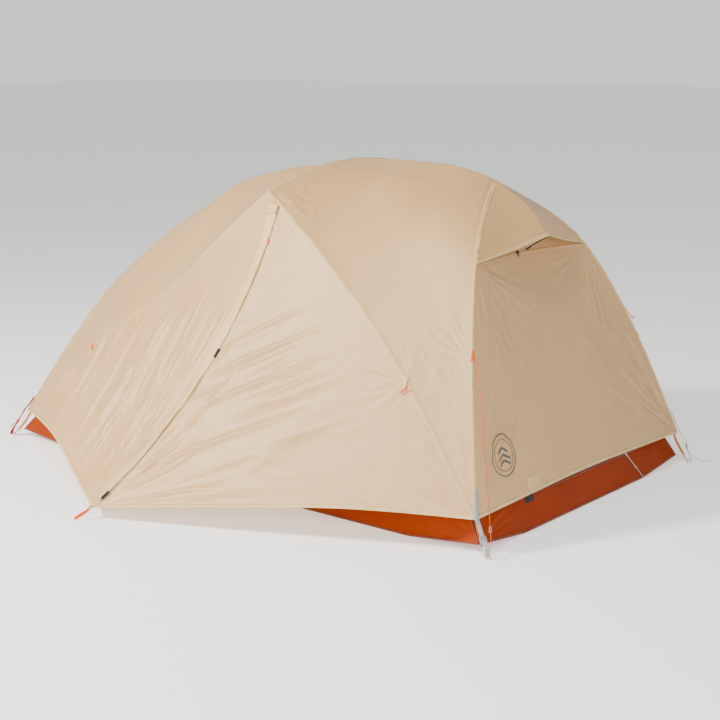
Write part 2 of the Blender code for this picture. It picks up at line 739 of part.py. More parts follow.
def make_storm_flaps():
    """A strip sewn to the foot-side door that covers the zip."""
    def strip(u, v):
        t = FLAP_FROM + (FLAP_TO - FLAP_FROM) * v
        _, across, outward = zip_frame(t)
        return ZIP(t) + outward * FLAP_STAND + across * (u * FLAP_WIDTH - FLAP_LAP)

    for name, sign in SIDES:
        hinge = side(fold_of(door_foot_side)[0], sign)
        sheet(f"storm_flap_{name}", shifted(strip, sign), 2, 16, FLY, origin=hinge, thickness=0.0015)


def make_zip_sliders():
    for name, sign in SIDES:
        spot = ZIP(SLIDER_AT)
        along, across, _ = zip_frame(SLIDER_AT)
        turn = axes(side(along, sign), side(across, sign))
        cylinder(f"zip_slider_{name}", 0.0028, 0.014, GREY_PLASTIC, side(spot, sign), turn, 10)


# ---- Webbing, loops, cords and toggles ---------------------------------------------------
def strap_ends(end):
    """A corner strap's upper and lower end, and the way out of the corner."""
    corner, tip = (HEAD_CORNER, HEAD_TIP) if end > 0 else (FOOT_CORNER, FOOT_TIP)
    out = unit((corner[0], corner[1], 0.0))
    high = np.array(corner) + out * 0.008 + np.array((0, 0, 0.004))
    low = np.array(tip) + out * 0.014 + np.array((0, 0, 0.010))
    return high, low, out


def make_corner_straps():
    for prefix, end, webbing in (("head", 1, GREY_WEBBING), ("foot", -1, RED_WEBBING)):
        high, low, out = strap_ends(end)
        length = np.linalg.norm(low - high)
        for name, sign in SIDES:
            turn = axes(side(high - low, sign), side(out, sign))
            middle = side((high + low) / 2, sign)
            box(f"corner_strap_{prefix}_{name}", (WEBBING, WEBBING_WIDTH, length), webbing, middle, turn)
            spot = side(low + (high - low) * BUCKLE_AT, sign)
            buckle = box(f"corner_buckle_{prefix}_{name}", BUCKLE_SIZE, GREY_PLASTIC, spot, turn,
                         bevel=0.001)
            gap = (WEBBING + 2 * CLEARANCE, WEBBING_WIDTH + 2 * CLEARANCE, 0.03)
            slot = box(f"buckle_slot_{prefix}_{name}", gap, GREY_PLASTIC, spot, turn)
            combine(buckle, slot, "DIFFERENCE")


def make_stake_loops():
    """A webbing loop at the vestibule's corner, lying towards the ground."""
    length, width = LOOP_LENGTH, LOOP_WIDTH
    high = np.array(DOOR_CORNER) + (-0.006, -0.008, -0.006)
    low = np.array(DOOR_CORNER) + (-0.034, -0.050, -0.0345)
    for name, sign in SIDES:
        outline = bpy.data.curves.new(f"stake_loop_{name}", "CURVE")
        outline.dimensions = "2D"
        outline.fill_mode = "BOTH"
        outline.extrude = WEBBING / 2
        for inset in (0.0, LOOP_BORDER):
            ring = outline.splines.new("POLY")
            ring.use_cyclic_u = True
            radius = width / 2 - inset
            knots = []
            for centre, first in ((length / 2 - width / 2, -90), (width / 2 - length / 2, 90)):
                for step in range(7):
                    angle = math.radians(first + 30 * step)
                    knots.append((centre + radius * math.cos(angle), radius * math.sin(angle)))
            ring.points.add(len(knots) - 1)
            for knot, (x, y) in zip(ring.points, knots):
                knot.co = (x, y, 0.0, 1.0)
        line = Vector(side(low, sign) - side(high, sign)).normalized()
        level = Vector((0, 0, 1)).cross(line).normalized()
        turn = Matrix((line, level, line.cross(level))).transposed()
        place(outline.name, outline, ORANGE_WEBBING, side((high + low) / 2, sign), turn)


def guyline_point(t):
    """The guyline hangs almost straight, with a little sag."""
    top, bottom = np.array(GUY_TOP), np.array(GUY_BOTTOM)
    return top + (bottom - top) * t + np.array(GUY_SAG) * 4 * t * (1 - t)


def make_guyline():
    route = [guyline_point(t) for t in np.linspace(0.0, 1.0, 30)]
    tube("guyline", route, CORD_RADIUS, ORANGE_CORD)
    spot = guyline_point(TENSIONER_AT)
    turn = axes(guyline_point(TENSIONER_AT + 0.01) - guyline_point(TENSIONER_AT - 0.01))
    body = cylinder("guy_tensioner", TENSIONER_RADIUS, TENSIONER_LENGTH, GREY_PLASTIC, spot, turn, 10)
    bore = cylinder("tensioner_bore", CORD_RADIUS + CORD_GAP, 0.04, GREY_PLASTIC, spot, turn, 10)
    combine(body, bore, "DIFFERENCE")


def make_corner_cord():
    """The loose tail of the floor's corner cord, on the ground behind the head end."""
    curve = spline(CORNER_CORD)
    tube("corner_cord_head_back", [curve(t) for t in np.linspace(0, 1, 22)], CORD_RADIUS, GREY_CORD)


TOGGLES = (("head", seam_head, 0.500, door_head_side, 0.020),
           ("foot", seam_foot, 0.432, door_foot_side, 0.006))


def toggle_frame(seam, height, door, reach):
    """A toggle's centre on the strip below a side seam, the seam's way and outward."""
    t = where(seam, height)
    spot = seam(t)
    along = unit(seam(t + 0.02) - seam(t - 0.02))
    away = door(0.5, 0.55) - spot
    away = unit(away - along * np.dot(away, along))
    outward = np.cross(along, away)
    outward = outward * np.sign(-outward[1])
    return spot + along * TOGGLE_DROP + away * reach + outward * TOGGLE_STAND, along, outward


def make_toggles():
    for label, *details in TOGGLES:
        centre, along, outward = toggle_frame(*details)
        for name, sign in SIDES:
            turn = axes(side(along, sign), side(outward, sign))
            title = f"door_toggle_{label}_{name}"
            cylinder(title, TOGGLE_RADIUS, TOGGLE_LENGTH, ORANGE_PLASTIC, side(centre, sign), turn, 8)


# ---- The tent ----------------------------------------------------------------------------
for old in list(bpy.data.objects):
    bpy.data.objects.remove(old, do_unlink=True)
TENT = collection("tent_on_poles")
CUTTERS = collection("cutters")

FLY = material("fly_fabric", (0.78, 0.62, 0.44), 0.55)
RUST = material("floor_fabric", (0.50, 0.14, 0.03), 0.60)
MESH = material("inner_fabric", (0.72, 0.62, 0.50), 0.80)
ALLOY = material("pole_alloy", (0.75, 0.33, 0.12), 0.30, 0.9)
STEEL = material("tip_alloy", (0.70, 0.70, 0.70), 0.35, 1.0)
NYLON = material("hub_nylon", (0.30, 0.30, 0.31), 0.50)
GREY_PLASTIC = material("grey_plastic", (0.35, 0.33, 0.32), 0.45)
ORANGE_PLASTIC = material("orange_plastic", (0.85, 0.28, 0.06), 0.45)
BLACK = material("black_webbing", (0.03, 0.03, 0.03), 0.80)
GREY_WEBBING = material("grey_webbing", (0.48, 0.45, 0.42), 0.85)
RED_WEBBING = material("red_webbing", (0.42, 0.06, 0.03), 0.85)
ORANGE_WEBBING = material("orange_webbing", (0.90, 0.25, 0.05), 0.80)
ORANGE_CORD = material("orange_cord", (0.90, 0.40, 0.18), 0.80)
GREY_CORD = material("grey_cord", (0.55, 0.52, 0.49), 0.80)

make_hub("hub_head", +1)
make_hub("hub_foot", -1)
make_ridge_pole()
make_brow_pole()
make_brow_clip()
for end_name, end_sign in (("head", 1), ("foot", -1)):
    for side_name, side_sign in SIDES:
        make_leg(f"leg_{end_name}_{side_name}", end_sign, side_sign)
        make_tip(f"pole_tip_{end_name}_{side_name}", end_sign, side_sign)
make_floor()
make_tub_walls()
make_inner_canopy()
make_inner_sides()
make_fly_roof_and_ends()
make_vent_prop()
make_doors()
make_storm_flaps()
make_zip_sliders()
make_corner_straps()
make_stake_loops()
make_guyline()
make_corner_cord()
make_toggles()
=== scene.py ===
"""Visual model of the pitched two-person tent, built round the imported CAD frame.

Metres, +Z up, +X towards the head end, -Y towards the front side.  Each sewn panel is a
fine grid on the same seams as its CAD solid.  Hems, tapes, flaps and stitches are laid on
those grids, and webbing, buckles and cords are lofted along short routes.
"""
import math

import bpy
import numpy as np
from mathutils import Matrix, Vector


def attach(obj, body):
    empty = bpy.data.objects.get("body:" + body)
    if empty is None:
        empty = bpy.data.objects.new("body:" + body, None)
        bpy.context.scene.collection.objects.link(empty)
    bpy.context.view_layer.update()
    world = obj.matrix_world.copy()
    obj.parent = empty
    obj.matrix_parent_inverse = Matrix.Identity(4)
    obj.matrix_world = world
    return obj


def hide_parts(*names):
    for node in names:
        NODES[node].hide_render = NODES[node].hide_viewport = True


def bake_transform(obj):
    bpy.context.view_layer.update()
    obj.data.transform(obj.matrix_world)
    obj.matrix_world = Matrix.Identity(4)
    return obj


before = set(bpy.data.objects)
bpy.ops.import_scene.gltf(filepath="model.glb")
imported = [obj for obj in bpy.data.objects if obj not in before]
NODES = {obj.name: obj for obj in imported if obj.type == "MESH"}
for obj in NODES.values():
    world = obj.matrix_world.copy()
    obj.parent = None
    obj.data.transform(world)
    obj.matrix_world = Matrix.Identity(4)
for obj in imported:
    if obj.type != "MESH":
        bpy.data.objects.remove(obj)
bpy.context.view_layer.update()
SIDES = (("front", -1), ("back", 1))

# ---- Seams of the fly, front half, and the sizes that the CAD shares ----------------------
APEX = (0.138, 0.0, 1.134)
BROW_TIP = (0.138, -0.487, 1.048)
HEAD_TOP = (0.743, 0.0, 1.078)
FOOT_TOP = (-0.880, 0.0, 0.735)
HEAD_CORNER = (1.133, -0.682, 0.114)
FOOT_CORNER = (-1.125, -0.530, 0.108)
DOOR_CORNER = (-0.090, -1.130, 0.038)
HEAD_TIP = (1.178, -0.690, 0.0)
FOOT_TIP = (-1.178, -0.562, 0.0)
ZIP_TOP_HEIGHT = 1.010
ZIP_SAG = 0.092
FLOOR_HALF_LENGTH = 1.137
FLOOR_HALF_WIDTH_HEAD = 0.668
FLOOR_HALF_WIDTH_FOOT = 0.540
FLOOR_CORNER_LIFT = 0.030
VENT_HEIGHT = 0.845
VENT_PEAK = (0.963, 0.0, 0.909)
VENT_SILL = (0.862, 0.0, 0.850)
VENT_SILL_BOW = (0.874, -0.170, 0.848)
INSIDE_HEAD, INSIDE_FOOT = (0.55, 0.0, 0.40), (-0.60, 0.0, 0.30)    # places inside each end
DOOR_SILL = 0.055
INNER_DOOR_X = (-0.33, 0.47)
ABOVE_ZIP = 0.05                # share of the foot-side door's edge that is above the zip

RIDGE_HEAD = [APEX, (0.40, 0.0, 1.140), (0.60, 0.0, 1.118), HEAD_TOP]
RIDGE_FOOT = [APEX, (-0.15, 0.0, 1.085), (-0.42, 0.0, 1.018), (-0.66, 0.0, 0.898), FOOT_TOP]
BROW = [APEX, (0.138, -0.240, 1.113), BROW_TIP]
LEG_HEAD = [HEAD_TOP, (0.883, -0.315, 0.883), (1.000, -0.512, 0.571), HEAD_CORNER]
LEG_FOOT = [FOOT_TOP, (-0.945, -0.201, 0.603), (-1.028, -0.358, 0.392), FOOT_CORNER]
SEAM_HEAD = [BROW_TIP, (0.409, -0.540, 0.862), (0.701, -0.597, 0.625),
             (0.930, -0.642, 0.372), HEAD_CORNER]
SEAM_FOOT = [BROW_TIP, (-0.080, -0.497, 0.880), (-0.313, -0.509, 0.683),
             (-0.676, -0.526, 0.445), FOOT_CORNER]
HEM_HEAD_SIDE = [DOOR_CORNER, (0.355, -0.985, 0.085), (0.744, -0.836, 0.116), HEAD_CORNER]
HEM_FOOT_SIDE = [DOOR_CORNER, (-0.328, -0.992, 0.076), (-0.600, -0.838, 0.134),
                 (-0.844, -0.698, 0.136), FOOT_CORNER]
HEM_HEAD_END = [HEAD_CORNER, (1.134, 0.0, 0.132)]
HEM_FOOT_END = [FOOT_CORNER, (-1.118, 0.0, 0.126)]
GUY_TOP = (1.014, -0.507, 0.566)
GUY_BOTTOM = (1.170, -0.652, 0.036)
CORNER_CORD = [(1.186, 0.722, 0.020), (1.196, 0.738, 0.006), (1.212, 0.752, 0.0012),
               (1.232, 0.768, 0.0012)]

# ---- Sewing details ------------------------------------------------------------------------
TAPE_WIDTH = 0.011              # seam tape on each side of a seam
HEM_WIDTH = 0.012
HEM_THICKNESS = 0.0013
FLAP_WIDTH = 0.043
FLAP_INSET = 0.007              # how far the flap reaches past the zip
FLAP_STAND = 0.0085
STITCH_LENGTH = 0.0036
STITCH_GAP = 0.0022
STITCH_RADIUS = 0.00045
WEBBING_WIDTH = 0.015
WEBBING_THICKNESS = 0.0013
CORD_RADIUS = 0.0011
FOLD_MARGIN = 0.006


# ---- Curves and surfaces -------------------------------------------------------------------
def side(point, sign):
    """The point on the front (sign -1) or the back (sign +1)."""
    return np.array(point, float) * (1.0, -sign, 1.0)


def unit(vector):
    vector = np.asarray(vector, float)
    length = np.linalg.norm(vector, axis=-1, keepdims=True)
    return vector / np.maximum(length, 1e-12)


def spline(points):
    """A smooth curve through the points, as a function of 0..1 along its length."""
    p = np.array(points, float)
    steps = np.linalg.norm(np.diff(p, axis=0), axis=1)
    s = np.concatenate(([0.0], np.cumsum(steps))) / steps.sum()
    slope = np.zeros_like(p)
    if len(p) == 2:
        slope[:] = p[1] - p[0]
    else:
        slope[1:-1] = (p[2:] - p[:-2]) / (s[2:] - s[:-2])[:, None]
        slope[0] = 1.5 * (p[1] - p[0]) / (s[1] - s[0]) - 0.5 * slope[1]
        slope[-1] = 1.5 * (p[-1] - p[-2]) / (s[-1] - s[-2]) - 0.5 * slope[-2]

    def at(t):
        t = np.asarray(t, float)
        i = np.clip(np.searchsorted(s, t, side="right") - 1, 0, len(p) - 2)
        h = (s[i + 1] - s[i])[..., None]
        u = (t - s[i])[..., None] / h
        keep = (2 * u**3 - 3 * u**2 + 1) * p[i] + (3 * u**2 - 2 * u**3) * p[i + 1]
        lean = (u**3 - 2 * u**2 + u) * slope[i] + (u**3 - u**2) * slope[i + 1]
        return keep + h * lean

    return at


def smooth(points, number):
    """A number of evenly spaced points on the spline through some points."""
    return spline(points)(np.linspace(0, 1, number))


def part_of(curve, start, end):
    return lambda t: curve(start + (end - start) * np.asarray(t, float))


def where(curve, value, axis=2):
    """The place 0..1 along a curve where one coordinate first reaches a value."""
    low, high = 0.0, 1.0
    rising = curve(1.0)[axis] > curve(0.0)[axis]
    for _ in range(40):
        middle = (low + high) / 2
        if (curve(middle)[axis] < value) == rising:
            low = middle
        else:
            high = middle
    return low


def patch(west, east, north, south):
    """A surface between four curves: west and east run along v, north and south along u."""
    def at(u, v):
        u, v = np.broadcast_arrays(np.asarray(u, float), np.asarray(v, float))
        a, b = u[..., None], v[..., None]
        across = (1 - a) * west(v) + a * east(v)
        along = (1 - b) * north(u) + b * south(u)
        flat = (1 - b) * ((1 - a) * west(0.0) + a * east(0.0))
        return across + along - flat - b * ((1 - a) * west(1.0) + a * east(1.0))

    return at


def fixed(point):
    return lambda t: np.zeros(np.shape(t) + (3,)) + np.array(point, float)


def both_sides(half):
    """A surface that crosses the tent: the front half has u 0..1 from its edge to y = 0."""
    def at(u, v):
        points = half(np.where(u <= 0.5, 2 * u, 2 - 2 * u), v)
        points[..., 1] *= np.where(u <= 0.5, 1.0, -1.0)
        return points

    return at


def inner(points):
    """Where the inner tent hangs, under points of the fly."""
    points = np.asarray(points, float)
    drop = 0.050 * np.minimum(1.0, points[..., 2] / 0.5)
    return np.stack((0.965 * points[..., 0], 0.950 * points[..., 1],
                     points[..., 2] - drop), axis=-1)


ridge_head, ridge_foot, brow = spline(RIDGE_HEAD), spline(RIDGE_FOOT), spline(BROW)
leg_head, leg_foot = spline(LEG_HEAD), spline(LEG_FOOT)
seam_head, seam_foot = spline(SEAM_HEAD), spline(SEAM_FOOT)
VENT_AT = where(leg_head, VENT_HEIGHT)
VENT_CORNER = leg_head(VENT_AT)
ZIP_TOP_AT = where(seam_head, ZIP_TOP_HEIGHT)


def door_zip():
    """The zip's arc from its top on the roof's seam down to the vestibule's corner."""
    top, bottom = seam_head(ZIP_TOP_AT), np.array(DOOR_CORNER)
    chord = np.linalg.norm(bottom - top)
    along = (bottom - top) / chord
    outward = unit(np.array((0.0, 0.0, 1.0)) - along[2] * along)
    radius = chord**2 / (8 * ZIP_SAG) + ZIP_SAG / 2
    centre = (top + bottom) / 2 + outward * (radius - ZIP_SAG)
    half = math.asin(chord / 2 / radius)

    def at(t):
        angle = (half * (2 * np.asarray(t, float) - 1))[..., None]
        return centre + radius * (along * np.sin(angle) - outward * np.cos(angle))

    return at


ZIP = door_zip()


def zip_side(t):
    """The foot-side door's edge: a little of the roof's seam, then the zip."""
    t = np.asarray(t, float)
    above = seam_head(ZIP_TOP_AT * np.minimum(t / ABOVE_ZIP, 1.0))
    below = ZIP(np.maximum((t - ABOVE_ZIP) / (1 - ABOVE_ZIP), 0.0))
    return np.where((t < ABOVE_ZIP)[..., None], above, below)


def visor_half(u, v):
    middle = spline([HEAD_TOP, (0.868, 0.0, 1.010), VENT_PEAK])
    lip = spline([VENT_CORNER, (0.932, -0.165, 0.874), VENT_PEAK])
    return patch(part_of(leg_head, 0.0, VENT_AT), middle, fixed(HEAD_TOP), lip)(u, v)


def wall_head_half(u, v):
    middle = spline([VENT_SILL, (0.965, 0.0, 0.620), (1.068, 0.0, 0.350), HEM_HEAD_END[1]])
    sill = spline([VENT_CORNER, VENT_SILL_BOW, VENT_SILL])
    return patch(part_of(leg_head, VENT_AT, 1.0), middle, sill, spline(HEM_HEAD_END))(u, v)


def wall_foot_half(u, v):
    middle = spline([FOOT_TOP, (-0.978, 0.0, 0.540), (-1.065, 0.0, 0.300), HEM_FOOT_END[1]])
    return patch(leg_foot, middle, fixed(FOOT_TOP), spline(HEM_FOOT_END))(u, v)


roof_head_half = patch(seam_head, ridge_head, lambda t: brow(1 - t), lambda t: leg_head(1 - t))
roof_foot_half = patch(seam_foot, ridge_foot, lambda t: brow(1 - t), lambda t: leg_foot(1 - t))
door_head_side = patch(ZIP, part_of(seam_head, ZIP_TOP_AT, 1.0), fixed(ZIP(0.0)),
                       spline(HEM_HEAD_SIDE))
door_foot_side = patch(zip_side, seam_foot, fixed(BROW_TIP), spline(HEM_FOOT_SIDE))


# ---- Smooth repeatable noise and wrinkles --------------------------------------------------
def lattice(i, j, seed):
    """A fixed number from -1 to 1 for each cell of a grid."""
    n = (i * 374761393 + j * 668265263 + seed * 974634777) & 0xFFFFFFFF
    n = ((n ^ (n >> 13)) * 1274126177) & 0xFFFFFFFF
    return ((n ^ (n >> 16)) & 0xFFFF) / 32767.5 - 1.0


def noise(x, y, seed):
    x, y = np.broadcast_arrays(np.asarray(x, float), np.asarray(y, float))
    i, j = np.floor(x).astype(np.int64), np.floor(y).astype(np.int64)
    a, b = x - i, y - j
    a, b = a * a * (3 - 2 * a), b * b * (3 - 2 * b)
    low = lattice(i, j, seed) * (1 - a) + lattice(i + 1, j, seed) * a
    high = lattice(i, j + 1, seed) * (1 - a) + lattice(i + 1, j + 1, seed) * a
    return low * (1 - b) + high * b


def ridge(wave):
    """Sharp crests with soft hollows between them, from a wave of -1 to 1."""
    return (1 - np.abs(wave)) ** 2.2 - 0.30


def rise(x, start, end):
    t = np.clip((x - start) / (end - start), 0.0, 1.0)
    return t * t * (3 - 2 * t)


def inside(u, v, margin=0.05):
    """1 in the middle of a panel and 0 along its four seams."""
    return (rise(u, 0, margin) * rise(1 - u, 0, margin)
            * rise(v, 0, margin) * rise(1 - v, 0, margin))


def fan(points, centre, heading, count, reach, height, seed, spread=2.2, start=0.02):
    """Wrinkles that fan out from a point that pulls, strongest along one heading."""
    offset = points - np.array(centre, float)
    distance = np.linalg.norm(offset, axis=-1)
    heading = unit(heading)
    mean = offset.reshape(-1, 3)
    normal = unit(np.linalg.svd(mean[:: max(1, len(mean) // 400)] - mean.mean(0))[2][2])
    sideways = unit(np.cross(normal, heading))
    angle = np.arctan2(offset @ sideways, offset @ heading)
    wave = noise(angle * count + 40, distance * 2.5 / reach, seed)
    envelope = rise(distance, start, start + 0.35 * reach) * np.exp(-(distance / reach) ** 2)
    return height * ridge(wave) * envelope * np.exp(-((angle / spread) ** 4))


def pucker(along, depth, seed, height=0.0011, pitch=0.022, reach=0.030):
    """Small wrinkles square to a seam: along is the distance along it, depth the distance off it."""
    wave = noise(along / pitch, depth / 0.09, seed) * rise(noise(along / 0.17, 7.0, seed), -0.5, 0.6)
    return height * wave * rise(depth, 0.0, 0.006) * np.exp(-depth / reach)


# ---- Panels --------------------------------------------------------------------------------
class Panel:
    """A sewn panel as a fine grid of points, with the way outward at each."""

    def __init__(self, surface, columns, rows, relief=None, sign=-1, centre=(0.0, 0.0, 0.25)):
        u, v = np.meshgrid(np.linspace(0, 1, columns + 1), np.linspace(0, 1, rows + 1))
        points = surface(u, v)
        self.measure(points, centre)
        if relief is not None:
            points = points + self.out * relief(u, v, points, self.cut)[..., None]
            self.measure(points, centre)
        self.points = side(points, sign)
        self.out = side(self.out, sign)
        self.turned = self.turned != (sign > 0)

    def measure(self, points, centre):
        """Normals and the distances along the cloth in both directions."""
        normal = np.cross(np.gradient(points, axis=1), np.gradient(points, axis=0))
        weak = np.linalg.norm(normal, axis=-1) < 1e-9
        normal = unit(normal)
        for row in (0, -1):
            if weak[row].all():
                normal[row] = normal[1 if row == 0 else -2]
        self.turned = np.sum(normal * (points - np.array(centre))) < 0
        self.out = -normal if self.turned else normal
        self.cut = np.zeros(points.shape[:2] + (2,))
        steps = np.linalg.norm(np.diff(points, axis=1), axis=-1)
        self.cut[:, 1:, 0] = np.cumsum(steps, axis=1)
        self.cut[..., 0] -= self.cut[:, -1:, 0] / 2
        steps = np.linalg.norm(np.diff(points, axis=0), axis=-1)
        self.cut[1:, :, 1] = np.cumsum(steps, axis=0)

    def sample(self, grid, u, v):
        rows, columns = grid.shape[0] - 1, grid.shape[1] - 1
        x, y = np.clip(u, 0, 1) * columns, np.clip(v, 0, 1) * rows
        i = np.minimum(x.astype(int), columns - 1)
        j = np.minimum(y.astype(int), rows - 1)
        a, b = (x - i)[..., None], (y - j)[..., None]
        low = grid[j, i] * (1 - a) + grid[j, i + 1] * a
        high = grid[j + 1, i] * (1 - a) + grid[j + 1, i + 1] * a
        return low * (1 - b) + high * b

    def at(self, u, v, lift=0.0):
        u, v = np.broadcast_arrays(np.asarray(u, float), np.asarray(v, float))
        return self.sample(self.points, u, v) + unit(self.sample(self.out, u, v)) * lift

    def near(self, edge, s, width, lift=0.0):
        """A place at s along an edge and a width in from it. A negative width is past the edge."""
        s, width = np.broadcast_arrays(np.asarray(s, float), np.asarray(width, float))
        if edge in ("west", "east"):
            lines = self.cut[:, -1, 0] - self.cut[:, 0, 0]
        else:
            lines = self.cut[-1, :, 1]
        length = np.interp(s, np.linspace(0, 1, len(lines)), lines)

        def spot(w):
            share = np.clip(w / np.maximum(length, 1e-6), 0.0, 0.5)
            far = 1 - share if edge in ("east", "south") else share
            u, v = (far, s) if edge in ("west", "east") else (s, far)
            return self.at(u, v), unit(self.sample(self.out, u, v))

        base, out = spot(np.maximum(width, 0.0))
        back = np.minimum(width, 0.0)[..., None] / 0.004
        base = base + back * (spot(np.full_like(width, 0.004))[0] - spot(np.zeros_like(width))[0])
        return base + out * np.asarray(lift, float)[..., None]

    def edge_frame(self, edge, s):
        """Directions at an edge: along it, in from it, and outward."""
        ahead, behind = np.minimum(s + 0.004, 1), np.maximum(s - 0.004, 0)
        along = unit(self.near(edge, ahead, 0.0) - self.near(edge, behind, 0.0))
        across = self.near(edge, s, 0.010) - self.near(edge, s, 0.0)
        across = unit(across - along * np.sum(across * along, axis=-1, keepdims=True))
        out = unit(self.near(edge, s, 0.002, 0.01) - self.near(edge, s, 0.002))
        return along, across, unit(out - along * np.sum(out * along, axis=-1, keepdims=True))


# ---- Geometry as (points, faces, cut) ------------------------------------------------------
def grid_faces(rows, columns, turned=False):
    i = np.arange(rows - 1)[:, None] * columns + np.arange(columns - 1)
    quads = np.stack((i, i + 1, i + columns + 1, i + columns), axis=-1).reshape(-1, 4)
    return quads[:, ::-1] if turned else quads


def cloth(panel):
    """The panel as an open sheet."""
    rows, columns = panel.points.shape[:2]
    quads = grid_faces(rows, columns, panel.turned)
    return panel.points.reshape(-1, 3), quads.tolist(), panel.cut.reshape(-1, 2)


def loft(rings, closed=False):
    """A solid through rings of points; each ring is one closed outline, and the ends are capped."""
    rings = np.asarray(rings, float)
    n, m = rings.shape[:2]
    faces = []
    for k in range(n if closed else n - 1):
        a, b = k * m, (k + 1) % n * m
        faces += [(a + i, a + (i + 1) % m, b + (i + 1) % m, b + i) for i in range(m)]
    if not closed:
        faces += [tuple(range(m))[::-1], tuple(range((n - 1) * m, n * m))]
    run = np.zeros(n)
    run[1:] = np.cumsum(np.linalg.norm(np.diff(rings.mean(axis=1), axis=0), axis=-1))
    around = np.linalg.norm(rings - np.roll(rings, 1, axis=1), axis=-1).cumsum(axis=1)
    cut = np.stack((around, np.repeat(run[:, None], m, axis=1)), axis=-1)
    return rings.reshape(-1, 3), faces, cut.reshape(-1, 2)


def frames(points, hint=(0.0, 0.0, 1.0)):
    """Directions along a line of points, and two square to it, turned as little as possible."""
    points = np.asarray(points, float)
    along = unit(np.gradient(points, axis=0))
    first = np.cross(along[0], np.array(hint, float))
    if np.linalg.norm(first) < 1e-3:
        first = np.cross(along[0], (1.0, 0.0, 0.0))
    across = [unit(first)]
    for tangent in along[1:]:
        last = across[-1] - tangent * np.dot(across[-1], tangent)
        across.append(unit(last))
    across = np.array(across)
    return along, across, np.cross(across, along)


def rod(points, radius, sides=8, hint=(0.0, 0.0, 1.0)):
    """A round bar along points; the radius may change along it."""
    points = np.asarray(points, float)
    _, across, up = frames(points, hint)
    turn = np.linspace(0, 2 * math.pi, sides, endpoint=False)
    radius = np.broadcast_to(np.asarray(radius, float), (len(points),))[:, None, None]
    circle = across[:, None] * np.cos(turn)[None, :, None] + up[:, None] * np.sin(turn)[None, :, None]
    return loft(points[:, None] + radius * circle)


def torus(centre, normal, radius, thick, turns=24, sides=8, stretch=(1.0, 1.0), hint=(0, 0, 1)):
    """A ring, which may be drawn out into an oval."""
    normal = unit(normal)
    alike = abs(np.dot(normal, unit(hint))) >= 0.95
    x = unit(np.cross(normal, (1, 0, 0) if alike else hint))
    y = np.cross(normal, x)
    rings = []
    for angle in np.linspace(0, 2 * math.pi, turns, endpoint=False):
        ray = x * math.cos(angle) * stretch[0] + y * math.sin(angle) * stretch[1]
        out = unit(x * math.cos(angle) / stretch[0] + y * math.sin(angle) / stretch[1])
        swing = np.linspace(0, 2 * math.pi, sides, endpoint=False)[:, None]
        tube = thick * (out * np.cos(swing) + normal * np.sin(swing))
        rings.append(np.array(centre) + ray * radius + tube)
    return loft(rings, closed=True)


def band(points, across, up, width, thickness=WEBBING_THICKNESS):
    """A flat strap along points, with rounded edges."""
    points = np.asarray(points, float)
    across = np.broadcast_to(unit(across), points.shape)
    up = np.broadcast_to(unit(up), points.shape)
    half, t = np.broadcast_to(np.asarray(width, float), (len(points),)) / 2, thickness / 2
    rings = []
    for x, z in ((-1, 0), (-0.92, 1), (-0.45, 1.15), (0, 1.15), (0.45, 1.15), (0.92, 1), (1, 0),
                 (0.92, -1), (0, -1.1), (-0.92, -1)):
        rings.append(points + across * (x * half)[:, None] + up * (z * t))
    return loft(np.stack(rings, axis=1))


def strap(points, across, width, thickness=WEBBING_THICKNESS):
    """A strap whose flat side is square to a fixed sideways direction and to its route."""
    along = unit(np.gradient(np.asarray(points, float), axis=0))
    up = unit(np.cross(across, along))
    return band(points, np.cross(along, up), up, width, thickness)


def block(centre, x, y, z, size, chamfer=0.15):
    """A brick with its edges cut off; x, y and z are its directions."""
    half = np.array(size, float) / 2
    c = chamfer * half.min()
    turn = np.stack((unit(x), unit(y), unit(z)))
    rings = []
    for height, inset in ((-half[2], c), (-half[2] + c, 0), (half[2] - c, 0), (half[2], c)):
        a, b = half[0] - inset, half[1] - inset
        outline = [(a - c, -b), (a, -b + c), (a, b - c), (a - c, b),
                   (-a + c, b), (-a, b - c), (-a, -b + c), (-a + c, -b)]
        rings.append([np.array((*corner, height)) @ turn + np.array(centre) for corner in outline])
    return loft(rings)


def border(panel, edge, s, width, thickness=HEM_THICKNESS, wrap=0.0, start=0.0):
    """A strip of tape or folded hem along a panel's edge. wrap is how far it goes round the edge."""
    s = np.asarray(s, float)
    t = thickness
    if wrap:
        outline = [(width, -0.2 * t), (width - 0.0006, t), (width * 0.5, 1.15 * t), (0.0008, t),
                   (-wrap, 0.35 * t), (-wrap, -0.35 * t), (0.0008, -t), (width * 0.5, -1.15 * t),
                   (width - 0.0006, -t)]
    else:
        outline = [(start + width, 0.0), (start + width - 0.0005, t), (start + width * 0.5, 1.2 * t),
                   (start + 0.0005, t), (start, 0.0), (start + width * 0.5, -0.2 * t)]
    rings = [panel.near(edge, s, np.full_like(s, w), np.full_like(s, lift)) for w, lift in outline]
    return loft(np.stack(rings, axis=1))


